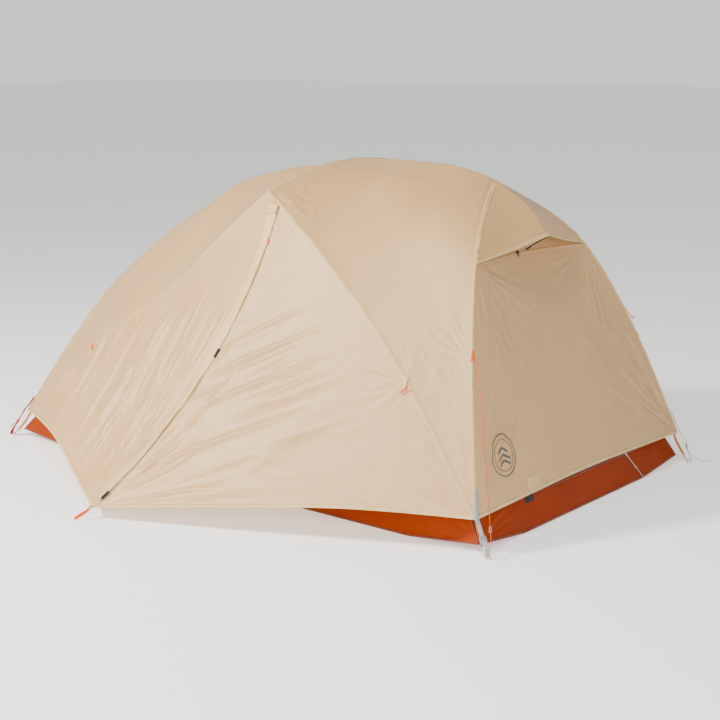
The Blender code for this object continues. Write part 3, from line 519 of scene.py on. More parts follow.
def stitches(points, out, length=STITCH_LENGTH, gap=STITCH_GAP, radius=STITCH_RADIUS):
    """A row of short raised threads along a line of points."""
    points = np.asarray(points, float)
    run = np.concatenate(([0.0], np.cumsum(np.linalg.norm(np.diff(points, axis=0), axis=-1))))
    count = int(run[-1] / (length + gap))
    middle = (np.arange(count) + 0.5) * (length + gap)

    def along(where_to):
        return np.stack([np.interp(where_to, run, points[:, k]) for k in range(3)], axis=-1)

    up = unit(np.stack([np.interp(middle, run, np.broadcast_to(out, points.shape)[:, k])
                        for k in range(3)], axis=-1))
    first, last = along(middle - length / 2), along(middle + length / 2)
    centre = (first + last) / 2
    sideways = unit(np.cross(last - first, up)) * radius
    corners = np.stack((first, centre + sideways, last, centre - sideways,
                        centre + up * radius * 1.3, centre - up * radius * 0.5), axis=1)
    shape = ((0, 1, 4), (1, 2, 4), (2, 3, 4), (3, 0, 4), (1, 0, 5), (2, 1, 5), (3, 2, 5), (0, 3, 5))
    faces = [tuple(6 * k + corner for corner in face) for k in range(count) for face in shape]
    return corners.reshape(-1, 3), faces, np.zeros((6 * count, 2))


def seam_stitches(panel, edge, s, width, lift):
    s = np.asarray(s, float)
    points = panel.near(edge, s, np.full_like(s, width), np.full_like(s, lift))
    out = points - panel.near(edge, s, np.full_like(s, width), np.full_like(s, lift - 0.01))
    return stitches(points, unit(out))


# ---- Materials -----------------------------------------------------------------------------
class Nodes:
    """A short way to write a material's nodes."""

    def __init__(self, name):
        self.material = bpy.data.materials.new(name)
        self.material.use_nodes = True
        self.tree = self.material.node_tree
        self.shader = self.tree.nodes["Principled BSDF"]
        self.out = self.tree.nodes["Material Output"]

    def add(self, kind, *sources, **settings):
        made = self.tree.nodes.new(kind)
        for key, value in settings.items():
            if hasattr(made, key):
                setattr(made, key, value)
            else:
                made.inputs[key.replace("_", " ")].default_value = value
        for number, source in enumerate(sources):
            if source is None:
                continue
            if isinstance(source, (int, float, tuple)):
                made.inputs[number].default_value = source
            else:
                self.tree.links.new(source, made.inputs[number])
        return made.outputs[0]

    def cut(self):
        """Distances along the cloth, in metres."""
        made = self.tree.nodes.new("ShaderNodeAttribute")
        made.attribute_name = "cut"
        return made.outputs["Vector"]

    def place(self):
        made = self.tree.nodes.new("ShaderNodeTexCoord")
        return made.outputs["Object"]

    def lines(self, where_to, period, direction, sharp=8.0):
        """Thin lines square to a direction: 1 on a line and 0 between."""
        wave = self.add("ShaderNodeTexWave", where_to, Scale=0.3141593 / period,
                        bands_direction=direction)
        return self.add("ShaderNodeMath", wave, sharp, operation="POWER")

    def noise(self, where_to, size, detail=3.0, roughness=0.55):
        return self.add("ShaderNodeTexNoise", where_to, Scale=1.0 / size, Detail=detail,
                        Roughness=roughness)

    def sum(self, a, b, weight_b=1.0):
        scaled = self.add("ShaderNodeMath", b, weight_b, operation="MULTIPLY")
        return self.add("ShaderNodeMath", a, scaled, operation="ADD")

    def range(self, value, low, high, from_low=0.0, from_high=1.0):
        return self.add("ShaderNodeMapRange", value, from_low, from_high, low, high)

    def colours(self, factor, first, second):
        mix = self.tree.nodes.new("ShaderNodeMix")
        mix.data_type = "RGBA"
        mix.inputs["A"].default_value = (*first, 1.0)
        mix.inputs["B"].default_value = (*second, 1.0)
        self.tree.links.new(factor, mix.inputs["Factor"])
        return mix.outputs["Result"]

    def shade(self, colour=None, roughness=None, height=None, bump=0.0003, **fixed_values):
        for name, source in (("Base Color", colour), ("Roughness", roughness)):
            if source is not None:
                self.tree.links.new(source, self.shader.inputs[name])
        if height is not None:
            made = self.tree.nodes.new("ShaderNodeBump")
            made.inputs["Strength"].default_value = 0.8
            made.inputs["Distance"].default_value = bump
            self.tree.links.new(height, made.inputs["Height"])
            self.tree.links.new(made.outputs[0], self.shader.inputs["Normal"])
        for name, value in fixed_values.items():
            self.shader.inputs[name.replace("_", " ")].default_value = value
        return self.material

    def let_light_through(self, colour, share):
        """Light from behind shows through the cloth."""
        glow = self.tree.nodes.new("ShaderNodeBsdfTranslucent")
        glow.inputs["Color"].default_value = (*colour, 1.0)
        mix = self.tree.nodes.new("ShaderNodeMixShader")
        mix.inputs[0].default_value = share
        self.tree.links.new(self.shader.outputs[0], mix.inputs[1])
        self.tree.links.new(glow.outputs[0], mix.inputs[2])
        self.tree.links.new(mix.outputs[0], self.out.inputs["Surface"])


def ripstop(name, light, dark, through=None, share=0.3, grid=0.0052, rough=(0.36, 0.46), gloss=0.5):
    """Thin coated nylon with a fine weave and a square grid of thicker threads."""
    n = Nodes(name)
    cut = n.cut()
    threads = n.sum(n.lines(cut, grid, "X", 14.0), n.lines(cut, grid, "Y", 14.0))
    weave = n.sum(n.lines(cut, 0.0007, "X", 1.0), n.lines(cut, 0.0007, "Y", 1.0))
    cloud = n.noise(n.place(), 0.22, 4.0)
    fine = n.noise(cut, 0.004, 2.0)
    tint = n.sum(n.sum(cloud, fine, 0.10), threads, 0.10)
    colour = n.colours(n.range(tint, 0.0, 1.0, 0.30, 0.85), dark, light)
    height = n.sum(n.sum(threads, weave, 0.25), fine, 0.6)
    n.shade(colour, n.range(cloud, rough[0], rough[1], 0.3, 0.7), height, 0.00022,
            Specular_IOR_Level=gloss)
    if through:
        n.let_light_through(through, share)
    return n.material


def taped(name, light, dark, through=None, share=0.2):
    """Seam tape or a folded hem: several layers of the cloth, smoother and a little glossier."""
    n = Nodes(name)
    cut = n.cut()
    weave = n.sum(n.lines(cut, 0.0009, "X", 1.0), n.lines(cut, 0.0009, "Y", 1.0))
    crinkle = n.noise(cut, 0.006, 3.0)
    colour = n.colours(n.range(n.noise(n.place(), 0.05, 3.0), 0.0, 1.0, 0.35, 0.7), dark, light)
    n.shade(colour, n.range(crinkle, 0.36, 0.50, 0.3, 0.7), n.sum(crinkle, weave, 0.3), 0.0006,
            Specular_IOR_Level=0.45)
    if through:
        n.let_light_through(through, share)
    return n.material


def woven(name, light, dark, period=0.0016):
    """Flat webbing with ribs across it and a herringbone of fine threads."""
    n = Nodes(name)
    cut = n.cut()
    ribs = n.lines(cut, period, "Y", 1.0)
    cords = n.lines(cut, period * 1.4, "X", 1.0)
    both = n.add("ShaderNodeMath", ribs, cords, operation="MULTIPLY")
    fuzz = n.noise(cut, 0.0012, 3.0)
    colour = n.colours(n.range(n.sum(both, fuzz, 0.5), 0.0, 1.0, 0.1, 0.9), dark, light)
    n.shade(colour, None, n.sum(both, fuzz, 0.3), 0.0004, Roughness=0.82, Sheen_Weight=0.05,
            Sheen_Roughness=0.5, Specular_IOR_Level=0.2)
    return n.material


def moulded(name, light, dark, rough=(0.38, 0.52), metallic=0.0, grain=0.0012, bump=0.00008):
    """Moulded plastic or bare metal with a fine grain."""
    n = Nodes(name)
    where_to = n.place()
    fine, large = n.noise(where_to, grain, 3.0), n.noise(where_to, 0.03, 2.0)
    colour = n.colours(n.range(n.sum(large, fine, 0.3), 0.0, 1.0, 0.4, 0.9), dark, light)
    n.shade(colour, n.range(fine, rough[0], rough[1], 0.3, 0.7), fine, bump, Metallic=metallic)
    return n.material


def netting(name, light, dark, period=0.0024):
    """Fine insect net: threads with holes between them."""
    n = Nodes(name)
    cut = n.cut()
    threads = n.add("ShaderNodeMath", n.lines(cut, period, "X", 2.0), n.lines(cut, period, "Y", 2.0),
                    operation="MAXIMUM")
    cloud = n.noise(n.place(), 0.15, 2.0)
    n.shade(n.colours(n.range(cloud, 0.0, 1.0, 0.3, 0.7), dark, light), None, threads, 0.0003,
            Roughness=0.75, Sheen_Weight=0.3)
    n.tree.links.new(n.range(threads, 0.34, 0.95, 0.12, 0.62), n.shader.inputs["Alpha"])
    return n.material


FLY = ripstop("fly_ripstop", (0.76, 0.485, 0.215), (0.69, 0.42, 0.172), (0.84, 0.48, 0.16), 0.22, 0.0052,
              (0.28, 0.38), 0.75)
FLAP = ripstop("flap_ripstop", (0.82, 0.55, 0.27), (0.75, 0.485, 0.22), (0.84, 0.54, 0.22), 0.10)
TAPE = taped("fly_seam_tape", (0.86, 0.62, 0.29), (0.77, 0.52, 0.21), (0.88, 0.57, 0.20), 0.12)
RUST = ripstop("floor_ripstop", (0.34, 0.040, 0.0), (0.27, 0.029, 0.0), None, 0.0, 0.0040,
               (0.50, 0.60), 0.12)
RUST_TAPE = taped("floor_tape", (0.25, 0.031, 0.001), (0.18, 0.021, 0.0008))
# The vent net is coloured a darker brown than the fly as painted shade, for the shadow under the visor.
VENT_NET_PAINTED_SHADE = ripstop("vent_net", (0.60, 0.36, 0.14), (0.52, 0.30, 0.11), (0.6, 0.33, 0.10), 0.10, 0.0012)
NET = netting("inner_net", (0.80, 0.70, 0.58), (0.70, 0.60, 0.48))
INNER = ripstop("inner_nylon", (0.80, 0.66, 0.49), (0.74, 0.59, 0.42), (0.85, 0.68, 0.45), 0.25)
ZIP_TAPE = woven("zip_tape", (0.66, 0.42, 0.19), (0.52, 0.32, 0.14), 0.0009)
ZIP_COIL = moulded("zip_coil", (0.60, 0.37, 0.16), (0.48, 0.29, 0.12))
THREAD = woven("sewing_thread", (0.70, 0.38, 0.20), (0.58, 0.29, 0.14), 0.0006)
TACK = woven("bar_tack", (0.88, 0.25, 0.13), (0.74, 0.16, 0.08), 0.0006)
GREY_WEB = woven("grey_webbing", (0.56, 0.52, 0.47), (0.36, 0.33, 0.29))
RED_WEB = woven("red_webbing", (0.42, 0.030, 0.006), (0.28, 0.018, 0.004))
ORANGE_WEB = woven("orange_webbing", (0.92, 0.105, 0.004), (0.76, 0.065, 0.002))
BLACK_WEB = woven("black_tape", (0.035, 0.034, 0.033), (0.012, 0.012, 0.012), 0.0012)
GUY_CORD = woven("guyline_braid", (0.95, 0.20, 0.03), (0.80, 0.12, 0.015), 0.0011)
GREY_CORD = woven("grey_braid", (0.60, 0.55, 0.49), (0.40, 0.36, 0.31), 0.0011)
GREY_PLASTIC = moulded("grey_acetal", (0.38, 0.36, 0.33), (0.27, 0.25, 0.23))
LAMINATE = moulded("grey_laminate", (0.36, 0.35, 0.34), (0.28, 0.27, 0.26), (0.3, 0.42))
ORANGE_PLASTIC = moulded("orange_acetal", (0.88, 0.11, 0.004), (0.74, 0.075, 0.003))
HUB_NYLON = moulded("hub_nylon", (0.23, 0.23, 0.235), (0.15, 0.15, 0.155))
POLE = moulded("anodised_pole", (0.74, 0.25, 0.07), (0.62, 0.18, 0.05), (0.22, 0.34), 1.0, 0.0006,
               0.00002)
STEEL = moulded("bare_alloy", (0.72, 0.71, 0.70), (0.58, 0.57, 0.56), (0.25, 0.4), 1.0, 0.0006,
                0.00003)
PRINT = moulded("print_ink", (0.085, 0.10, 0.095), (0.055, 0.066, 0.062), (0.5, 0.65))


# ---- Putting pieces on bodies --------------------------------------------------------------
def fold_of(door):
    """A point of a door panel's fold line, and the way from it into the panel."""
    top, corner = door(1.0, 0.0), door(1.0, 1.0)
    along = unit(top - corner)
    away = np.array(DOOR_CORNER) - corner
    away = unit(away - np.dot(away, along) * along)
    reach = ((door(np.ones(25), np.linspace(0, 1, 25)) - corner) @ away).max()
    return corner + away * (reach + FOLD_MARGIN), away


FOLDS = {}
for door_label, door_surface in (("head", door_head_side), ("foot", door_foot_side)):
    fold_point, fold_away = fold_of(door_surface)
    for side_name, side_sign in SIDES:
        FOLDS[f"door_{door_label}_{side_name}"] = (side(fold_point, side_sign),
                                                   side(fold_away, side_sign))


def piece(name, geometry, finish, body, slot, replaces=(), sharp=None):
    """Joins geometry into one object and puts it on its body; pieces for a door panel's body are only baked in
    place, not put on a body.
    """
    verts, faces, cuts, count = [], [], [], 0
    for points, some, cut in geometry:
        verts.append(points)
        cuts.append(cut)
        faces += [tuple(int(k) + count for k in face) for face in some]
        count += len(points)
    verts, cuts = np.concatenate(verts), np.concatenate(cuts)
    mesh = bpy.data.meshes.new(name)
    mesh.from_pydata(verts.tolist(), [], faces)
    flat = np.zeros((len(verts), 3), np.float32)
    flat[:, :2] = cuts
    mesh.attributes.new("cut", "FLOAT_VECTOR", "POINT").data.foreach_set("vector", flat.ravel())
    mesh.validate()
    mesh.shade_smooth()
    if sharp:
        mesh.set_sharp_from_angle(angle=math.radians(sharp))
    mesh.materials.append(finish)
    made = bpy.data.objects.new(name, mesh)
    bpy.context.scene.collection.objects.link(made)
    if replaces:
        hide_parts(*replaces)
    if body in FOLDS:
        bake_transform(made)
    else:
        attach(made, body)
    return made


# ---- Camera --------------------------------------------------------------------------------
AZIMUTH, DOWN = math.radians(37.03), math.radians(11.81)
BACK = Vector((math.sin(AZIMUTH) * math.cos(DOWN), -math.cos(AZIMUTH) * math.cos(DOWN), math.sin(DOWN)))
view = bpy.data.cameras.new("camera")
view.lens, view.sensor_width = 75.78, 36.0
view.shift_x, view.shift_y = -0.0339, 0.0132
camera = bpy.data.objects.new("camera", view)
camera.location = (3.580, -4.390, 1.510)
camera.rotation_mode = "QUATERNION"
camera.rotation_quaternion = (-BACK).to_track_quat("-Z", "Y")
bpy.context.scene.collection.objects.link(camera)
bpy.context.scene.camera = camera


# ---- Cords ---------------------------------------------------------------------------------
def cord(name, points, finish, node):
    curve = bpy.data.curves.new(name, "CURVE")
    curve.dimensions = "3D"
    curve.bevel_depth = CORD_RADIUS
    curve.bevel_resolution = 3
    curve.use_fill_caps = True
    run = curve.splines.new("POLY")
    run.points.add(len(points) - 1)
    for knot, point in zip(run.points, points):
        knot.co = (*point, 1.0)
    curve.materials.append(finish)
    made = bpy.data.objects.new(name, curve)
    bpy.context.scene.collection.objects.link(made)
    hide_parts(node)
    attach(made, "tent")
    return made


def length_of(points):
    return float(np.linalg.norm(np.diff(points, axis=0), axis=-1).sum())


def guyline_point(t):
    """The guyline hangs almost straight, with a little sag."""
    t = np.asarray(t, float)[..., None]
    top, bottom = np.array(GUY_TOP), np.array(GUY_BOTTOM)
    return top + (bottom - top) * t + np.array((0.006, -0.004, -0.003)) * 4 * t * (1 - t)


guy_points = guyline_point(np.linspace(0, 1, 40))
guy = cord("guyline_cord", guy_points, GUY_CORD, "guyline")
round(length_of(guy_points), 3)
tail_points = spline(CORNER_CORD)(np.linspace(0, 1, 24))
tail = cord("corner_cord_tail", tail_points, GREY_CORD, "corner_cord_head_back")
round(length_of(tail_points), 3)


# ---- Fly panels ----------------------------------------------------------------------------
def edge_distance(panel_cut, u, edge):
    """Distance from a west or east edge, along the row."""
    width = panel_cut[:, -1:, 0] - panel_cut[:, :1, 0]
    return width * (u if edge == "west" else 1 - u)


TOGGLE_HEAD, TOGGLE_FOOT, GUY_TAB = seam_head(0.644), seam_foot(0.645), leg_head(0.62)
ROOF_HEAD_PULLS = (        # place, heading, folds, reach, height, step of the seed, spread
    (BROW_TIP, (0.8, 0.5, 0.1), 8.0, 0.18, 0.0065, 0, 2.2),
    (TOGGLE_HEAD, (0.2, 0.6, 0.6), 6.0, 0.14, 0.0034, 4, 2.2),
    (GUY_TAB, (-0.7, 0.1, 0.3), 8.0, 0.20, 0.0050, 6, 2.2),
    (HEAD_TOP, (-0.9, -0.2, 0.1), 8.0, 0.18, 0.0040, 8, 2.2),
    (HEAD_CORNER, (-0.5, 0.3, 0.8), 8.0, 0.26, 0.0080, 10, 2.2))
ROOF_FOOT_PULLS = (
    (BROW_TIP, (-0.8, 0.5, 0.1), 8.0, 0.18, 0.0065, 0, 2.2),
    (FOOT_CORNER, (0.5, 0.3, 0.8), 8.0, 0.26, 0.0080, 12, 2.2),
    (FOOT_TOP, (0.8, -0.2, 0.3), 8.0, 0.18, 0.0040, 14, 2.2))


def both_halves(points, pulls, seed):
    """Wrinkles from the points that pull on a panel that crosses the tent."""
    total = 0.0
    for number, half in enumerate((points, points * (1.0, -1.0, 1.0))):
        bump = 0.0
        for place, heading, folds, reach, height, step, spread in pulls:
            bump = bump + fan(half, place, heading, folds, reach, height, seed + step + number, spread)
        total = total + rise(-half[..., 1], -0.05, 0.10) * bump
    return total


def door_head_relief(seed):
    def relief(u, v, p, cut):
        calm = inside(u, v, 0.04)
        staked = fan(p, DOOR_CORNER, (0.75, 0.30, 0.50), 9.5, 0.62, 0.0140, seed, 1.1)
        swept = streaks(p, (0.80, 0.22, 0.44), 0.048, 0.55, seed + 1)
        low = rise(v, 0.28, 0.52) * rise(1 - u, 0.18, 0.62) * rise(1 - v, 0.02, 0.25)
        corner = fan(p, HEAD_CORNER, (-0.90, -0.25, 0.40), 11.0, 0.30, 0.0085, seed + 2, 1.2)
        toggle = fan(p, TOGGLE_HEAD, (-0.5, -0.4, -0.5), 7.0, 0.14, 0.0050, seed + 3, 2.6)
        peak = fan(p, ZIP(0.0), (0.6, -0.2, -0.7), 12.0, 0.14, 0.0036, seed + 4, 2.0)
        edges = pucker(cut[..., 1], edge_distance(cut, u, "west"), seed + 5, 0.0012)
        edges = edges + pucker(cut[..., 1], edge_distance(cut, u, "east"), seed + 6, 0.0006)
        return calm * (staked + 0.0165 * swept * low + corner + toggle + peak) + 0.8 * edges

    return relief


def streaks(points, heading, width, length, seed):
    """Long parallel creases along one heading."""
    heading = unit(heading)
    normal = unit(np.linalg.svd(points.reshape(-1, 3)[::97] - points.reshape(-1, 3).mean(0))[2][2])
    sideways = np.cross(normal, heading)
    run, offset = points @ heading, points @ sideways
    wander = 0.35 * width * noise(run / length * 1.7, 3.0, seed + 50)
    wave = noise((offset + wander) / width, run / length, seed)
    finer = noise((offset + wander) / width * 2.3, run / length * 1.6, seed + 9)
    patches = rise(noise(run / length, offset / 0.2, seed + 8), -0.3, 0.5)
    return ridge(wave) + 0.45 * ridge(finer) * patches


def door_foot_relief(seed):
    def relief(u, v, p, cut):
        calm = inside(u, v, 0.035)
        upright = streaks(p, (0.02, 0.30, 0.95), 0.038, 0.42, seed)
        low = rise(v, 0.28, 0.62) * rise(1 - v, -0.10, 0.22)
        staked = fan(p, DOOR_CORNER, (-0.30, 0.30, 0.90), 11.0, 0.55, 0.0120, seed + 1, 1.2)
        corner = fan(p, FOOT_CORNER, (0.85, -0.30, 0.30), 9.0, 0.30, 0.0045, seed + 2, 1.3)
        toggle = fan(p, TOGGLE_FOOT, (0.4, -0.4, -0.7), 7.0, 0.16, 0.0060, seed + 3, 2.6)
        edges = pucker(cut[..., 1], edge_distance(cut, u, "west"), seed + 5, 0.0014)
        return calm * (0.0125 * upright * low + staked + corner + toggle) + 0.8 * edges

    return relief


def roof_relief(seed, pulls):
    def relief(u, v, p, cut):
        soft = (0.0050 * noise(p[..., 0] * 5, p[..., 1] * 4, seed + 20)
                + 0.0016 * noise(p[..., 0] * 16, p[..., 1] * 9, seed + 21))
        edges = pucker(cut[..., 1], edge_distance(cut, u, "west"), seed + 22, 0.0008)
        edges = edges + pucker(cut[..., 1], edge_distance(cut, u, "east"), seed + 23, 0.0008)
        return inside(u, v, 0.05) * (both_halves(p, pulls, seed) + soft) + edges

    return relief


def end_wall_relief(seed, corner, top, lean):
    pulls = ((corner, (lean, 0.30, 0.9), 9.0, 0.50, 0.0120, 0, 0.9),
             (corner, (lean, 0.8, 0.2), 9.0, 0.22, 0.0060, 2, 0.8),
             (top, (-lean, 0.5, -0.8), 6.0, 0.34, 0.0055, 4, 1.0))

    def relief(u, v, p, cut):
        soft = (0.0040 * noise(p[..., 1] * 5, p[..., 2] * 3, seed + 8)
                + 0.0012 * noise(p[..., 1] * 17, p[..., 2] * 6, seed + 9))
        return inside(u, v, 0.05) * (both_halves(p, pulls, seed) + soft)

    return relief


panels = {}


def sheet(name, panel, finish, body="tent", slot="fly_fabric",
          nodes=None):
    """Builds a fabric panel as a piece and keeps it by its name.

    It stands for the CAD node that it is named after, unless nodes says which.
    """
    nodes = (name.rsplit("_", 1)[0],) if nodes is None else nodes
    made = piece(name, [cloth(panel)], finish, body, slot, nodes)
    panels[name] = panel
    return made


FINE = 1.0


def count(number):
    return max(8, int(number * FINE))


for name, half, columns, rows, relief in (
        ("fly_roof_head", roof_head_half, 220, 130, roof_relief(11, ROOF_HEAD_PULLS)),
        ("fly_roof_foot", roof_foot_half, 200, 170, roof_relief(41, ROOF_FOOT_PULLS)),
        ("fly_wall_head", wall_head_half, 200, 130, end_wall_relief(71, HEAD_CORNER, VENT_CORNER, -0.15)),
        ("fly_wall_foot", wall_foot_half, 180, 120, end_wall_relief(83, FOOT_CORNER, FOOT_TOP, 0.15)),
        ("vent_visor", visor_half, 110, 50,
         lambda u, v, p, cut: inside(u, v, 0.1) * 0.0015 * noise(p[..., 1] * 12, v * 3, 97))):
    sheet(f"{name}_cloth", Panel(both_sides(half), count(columns), count(rows), relief), FLY)
for side_name, side_sign in SIDES:
    for label, surface, rows, relief, seed in (("head", door_head_side, 190, door_head_relief, 101),
                                               ("foot", door_foot_side, 200, door_foot_relief, 121)):
        seed += 0 if side_sign < 0 else 50
        sheet(f"fly_door_{label}_{side_name}_cloth",
              Panel(surface, count(190), count(rows), relief(seed), side_sign),
              FLY, f"door_{label}_{side_name}")

# ---- Seam tapes, hems and stitching of the fly ---------------------------------------------
RUN = np.linspace(0, 1, 150)
tapes, threads, hems = [], [], []
ALL_EDGES, TWO_EDGES = ("west", "east", "north", "south"), ("west", "east")
TAPED = (("fly_roof_head_cloth", ALL_EDGES), ("fly_roof_foot_cloth", ALL_EDGES),
         ("fly_wall_head_cloth", TWO_EDGES), ("fly_wall_foot_cloth", TWO_EDGES),
         ("vent_visor_cloth", TWO_EDGES))
for panel_name, edges in TAPED:
    for edge in edges:
        low = 0.04 if panel_name in ("fly_wall_foot_cloth", "vent_visor_cloth") else 0.0
        run = low + (1 - low) * RUN
        tapes.append(border(panels[panel_name], edge, run, TAPE_WIDTH, 0.0006))
        threads.append(seam_stitches(panels[panel_name], edge, run[1:-1], 0.003, 0.0009))
        threads.append(seam_stitches(panels[panel_name], edge, run[1:-1], TAPE_WIDTH - 0.002, 0.0007))
for panel_name, edge in (("fly_wall_head_cloth", "south"), ("fly_wall_foot_cloth", "south"),
                         ("vent_visor_cloth", "south"), ("fly_wall_head_cloth", "north")):
    hems.append(border(panels[panel_name], edge, RUN, HEM_WIDTH, HEM_THICKNESS, 0.0012))
    threads.append(seam_stitches(panels[panel_name], edge, RUN[1:-1], HEM_WIDTH - 0.0022,
                                 HEM_THICKNESS + 0.0002))
piece("fly_seam_tapes", tapes, TAPE, "tent", "fly_fabric")
piece("fly_end_hems", hems[:3], TAPE, "tent", "fly_fabric")
piece("vent_sill_hem", hems[3:], FLY, "tent", "fly_fabric")
piece("fly_seam_stitching", threads, THREAD, "tent", "fly_fabric")

for side_name, side_sign in SIDES:
    for door_label in ("head", "foot"):
        panel = panels[f"fly_door_{door_label}_{side_name}_cloth"]
        body = f"door_{door_label}_{side_name}"
        hem = [border(panel, "south", RUN, HEM_WIDTH, HEM_THICKNESS, 0.0012)]
        tape = [border(panel, "east", np.linspace(0.05, 1, 120), TAPE_WIDTH * 0.7, 0.0005)]
        start = 0.02 if door_label == "head" else ABOVE_ZIP
        along_zip = np.linspace(start, 1, 140)
        hem.append(border(panel, "west", along_zip, 0.009, 0.0008, 0.0008))
        sewn = [seam_stitches(panel, "south", RUN[1:-1], HEM_WIDTH - 0.0022, HEM_THICKNESS + 0.0002),
                seam_stitches(panel, "east", np.linspace(0.06, 0.99, 120), 0.0030, 0.0007)]
        piece(f"fly_door_{door_label}_{side_name}_hem", hem + tape, TAPE, body, "fly_fabric")
        piece(f"fly_door_{door_label}_{side_name}_stitching", sewn, THREAD, body, "fly_fabric")


# ---- Zips and storm flaps ------------------------------------------------------------------
def zip_place(t):
    """The foot-side panel's edge parameter for a place along the zip."""
    return ABOVE_ZIP + (1 - ABOVE_ZIP) * np.asarray(t, float)


for side_name, side_sign in SIDES:
    foot = panels[f"fly_door_foot_{side_name}_cloth"]
    t = np.linspace(0.02, 0.985, 150)
    along, across, out = foot.edge_frame("west", zip_place(t))
    edge = foot.near("west", zip_place(t), 0.0)
    # zip tape and half of the coil on each door panel
    for label, way in (("head", -1), ("foot", 1)):
        body = f"door_{label}_{side_name}"
        middle = edge + out * -0.0022 + across * (way * 0.0062)
        tape = band(middle, across, out, 0.011, 0.0008)
        teeth_at = np.linspace(0.03, 0.98, 420)
        a, c, o = foot.edge_frame("west", zip_place(teeth_at))
        base = foot.near("west", zip_place(teeth_at), 0.0)
        turns = np.arange(len(teeth_at)) * (math.pi / 2)
        swing = base + c * (way * (0.0016 + 0.0014 * np.cos(turns)))[:, None]
        swing = swing + o * (0.0006 * np.sin(turns) - 0.0010)[:, None]
        piece(f"zip_tape_{label}_{side_name}", [tape], ZIP_TAPE, body, "fly_fabric")
        piece(f"zip_coil_{label}_{side_name}", [rod(swing, 0.00055, 5)], ZIP_COIL, body, "fly_fabric")

    # storm flap: an arched strip with a wavy free edge, sewn along its foot side
    shares = np.linspace(0, 1, 15)
    run = np.linspace(0.004, 0.972, 170)
    a, c, o = foot.edge_frame("west", zip_place(run))
    base = foot.near("west", zip_place(run), 0.0)
    distance = run * 1.2
    grid = []
    for share in shares:
        width = share * FLAP_WIDTH - FLAP_INSET
        arch = 0.0026 + (FLAP_STAND - 0.0040) * math.sin(math.pi * (0.08 + 0.84 * share)) ** 0.8
        free = (1 - share) ** 2 * 0.0022 * noise(distance / 0.050, 1.0, 301)
        ripple = 0.0013 * math.sin(math.pi * share) * noise(distance / 0.014, share * 4.0, 302)
        lean = 0.0012 * noise(distance / 0.07, share * 1.3, 303)
        grid.append(base + c * (width + lean)[:, None] + o * (arch + free + ripple)[:, None])
    flap = np.stack(grid, axis=1)
    flap_panel = Panel(lambda u, v: flap, 14, 169)
    body = f"door_foot_{side_name}"
    ends = spline([flap[0, 0], flap[0, 14]])(np.linspace(0.04, 0.96, 12))
    made = piece(f"storm_flap_{side_name}_cloth", [cloth(flap_panel)], FLAP, body, "fly_fabric",
                 (f"storm_flap_{side_name}",))
    panels[f"storm_flap_{side_name}_cloth"] = flap_panel
    trim, sewn = [], []
    spread = np.linspace(0, 1, 150)
    for edge_name in ("west", "east"):
        trim.append(border(flap_panel, edge_name, spread, 0.0055, 0.0009, 0.0008))
        sewn.append(seam_stitches(flap_panel, edge_name, spread[1:-1], 0.0040, 0.0011))
    trim.append(band(ends + a[0] * 0.018 + o[0] * 0.0042, a[0], o[0], 0.034, 0.0012))
    for share in (0.42, 0.58):
        line = flap_panel.at(np.full(150, share), spread, 0.0003)
        zigzag = line + c[:150] * (0.0012 * np.where(np.arange(150) % 2, 1, -1))[:, None]
        sewn.append(stitches(zigzag, o[:150], 0.0042, 0.0030))
    piece(f"storm_flap_{side_name}_hem", trim, TAPE, body, "fly_fabric")
    piece(f"storm_flap_{side_name}_stitching", sewn, THREAD, body, "fly_fabric")
    tabs = []
    for at_zip in (0.455, 0.952):
        a1, c1, o1 = (x[0] for x in foot.edge_frame("west", zip_place(np.array([at_zip]))))
        spot = foot.near("west", zip_place(at_zip), 0.0) + o1 * 0.0050 - c1 * 0.0085
        tabs.append(block(spot, a1, c1, o1, (0.034, 0.012, 0.0036), 0.3))
    piece(f"flap_hook_tabs_{side_name}", tabs, BLACK_WEB, body, "fly_fabric")

    # slider and pull
    t0 = np.array([0.10])
    a1, c1, o1 = (x[0] for x in foot.edge_frame("west", zip_place(t0)))
    centre = foot.near("west", zip_place(0.10), 0.0)
    shell = [block(centre + o1 * 0.0012, a1, c1, o1, (0.013, 0.0085, 0.0018), 0.5),
             block(centre - o1 * 0.0034, a1, c1, o1, (0.013, 0.0085, 0.0014), 0.5),
             rod([centre - o1 * 0.0030 - a1 * 0.004, centre + o1 * 0.0012 - a1 * 0.004], 0.0016),
             torus(centre + o1 * 0.0030 - a1 * 0.001, c1, 0.0024, 0.0007, 16, 6)]
    body = f"zip_slider_{side_name}"
    piece(f"zip_slider_{side_name}_body", shell, GREY_PLASTIC, body, "grey_plastic", (body,), 35)
    pull = centre + o1 * 0.0040 - c1 * 0.009
    route = [centre + o1 * 0.0044, centre + o1 * 0.0052 - c1 * 0.004 + a1 * 0.004,
             pull + a1 * 0.010, pull + a1 * 0.024 - o1 * 0.001]
    piece(f"zip_pull_{side_name}", [strap(smooth(route, 12), c1, 0.0065, 0.0018)],
          ORANGE_WEB, body, "orange_webbing")


# ---- Vent ----------------------------------------------------------------------------------
def vent_net_half(u, v):
    """Net from the top of the end wall up to the underside of the visor."""
    sill = spline([VENT_CORNER, VENT_SILL_BOW, VENT_SILL])
    low_edge = sill(u)
    high_edge = visor_half(u, np.full_like(u, 0.55)) - np.array((0.004, 0, 0.004))
    return low_edge + (high_edge - low_edge) * v[..., None]
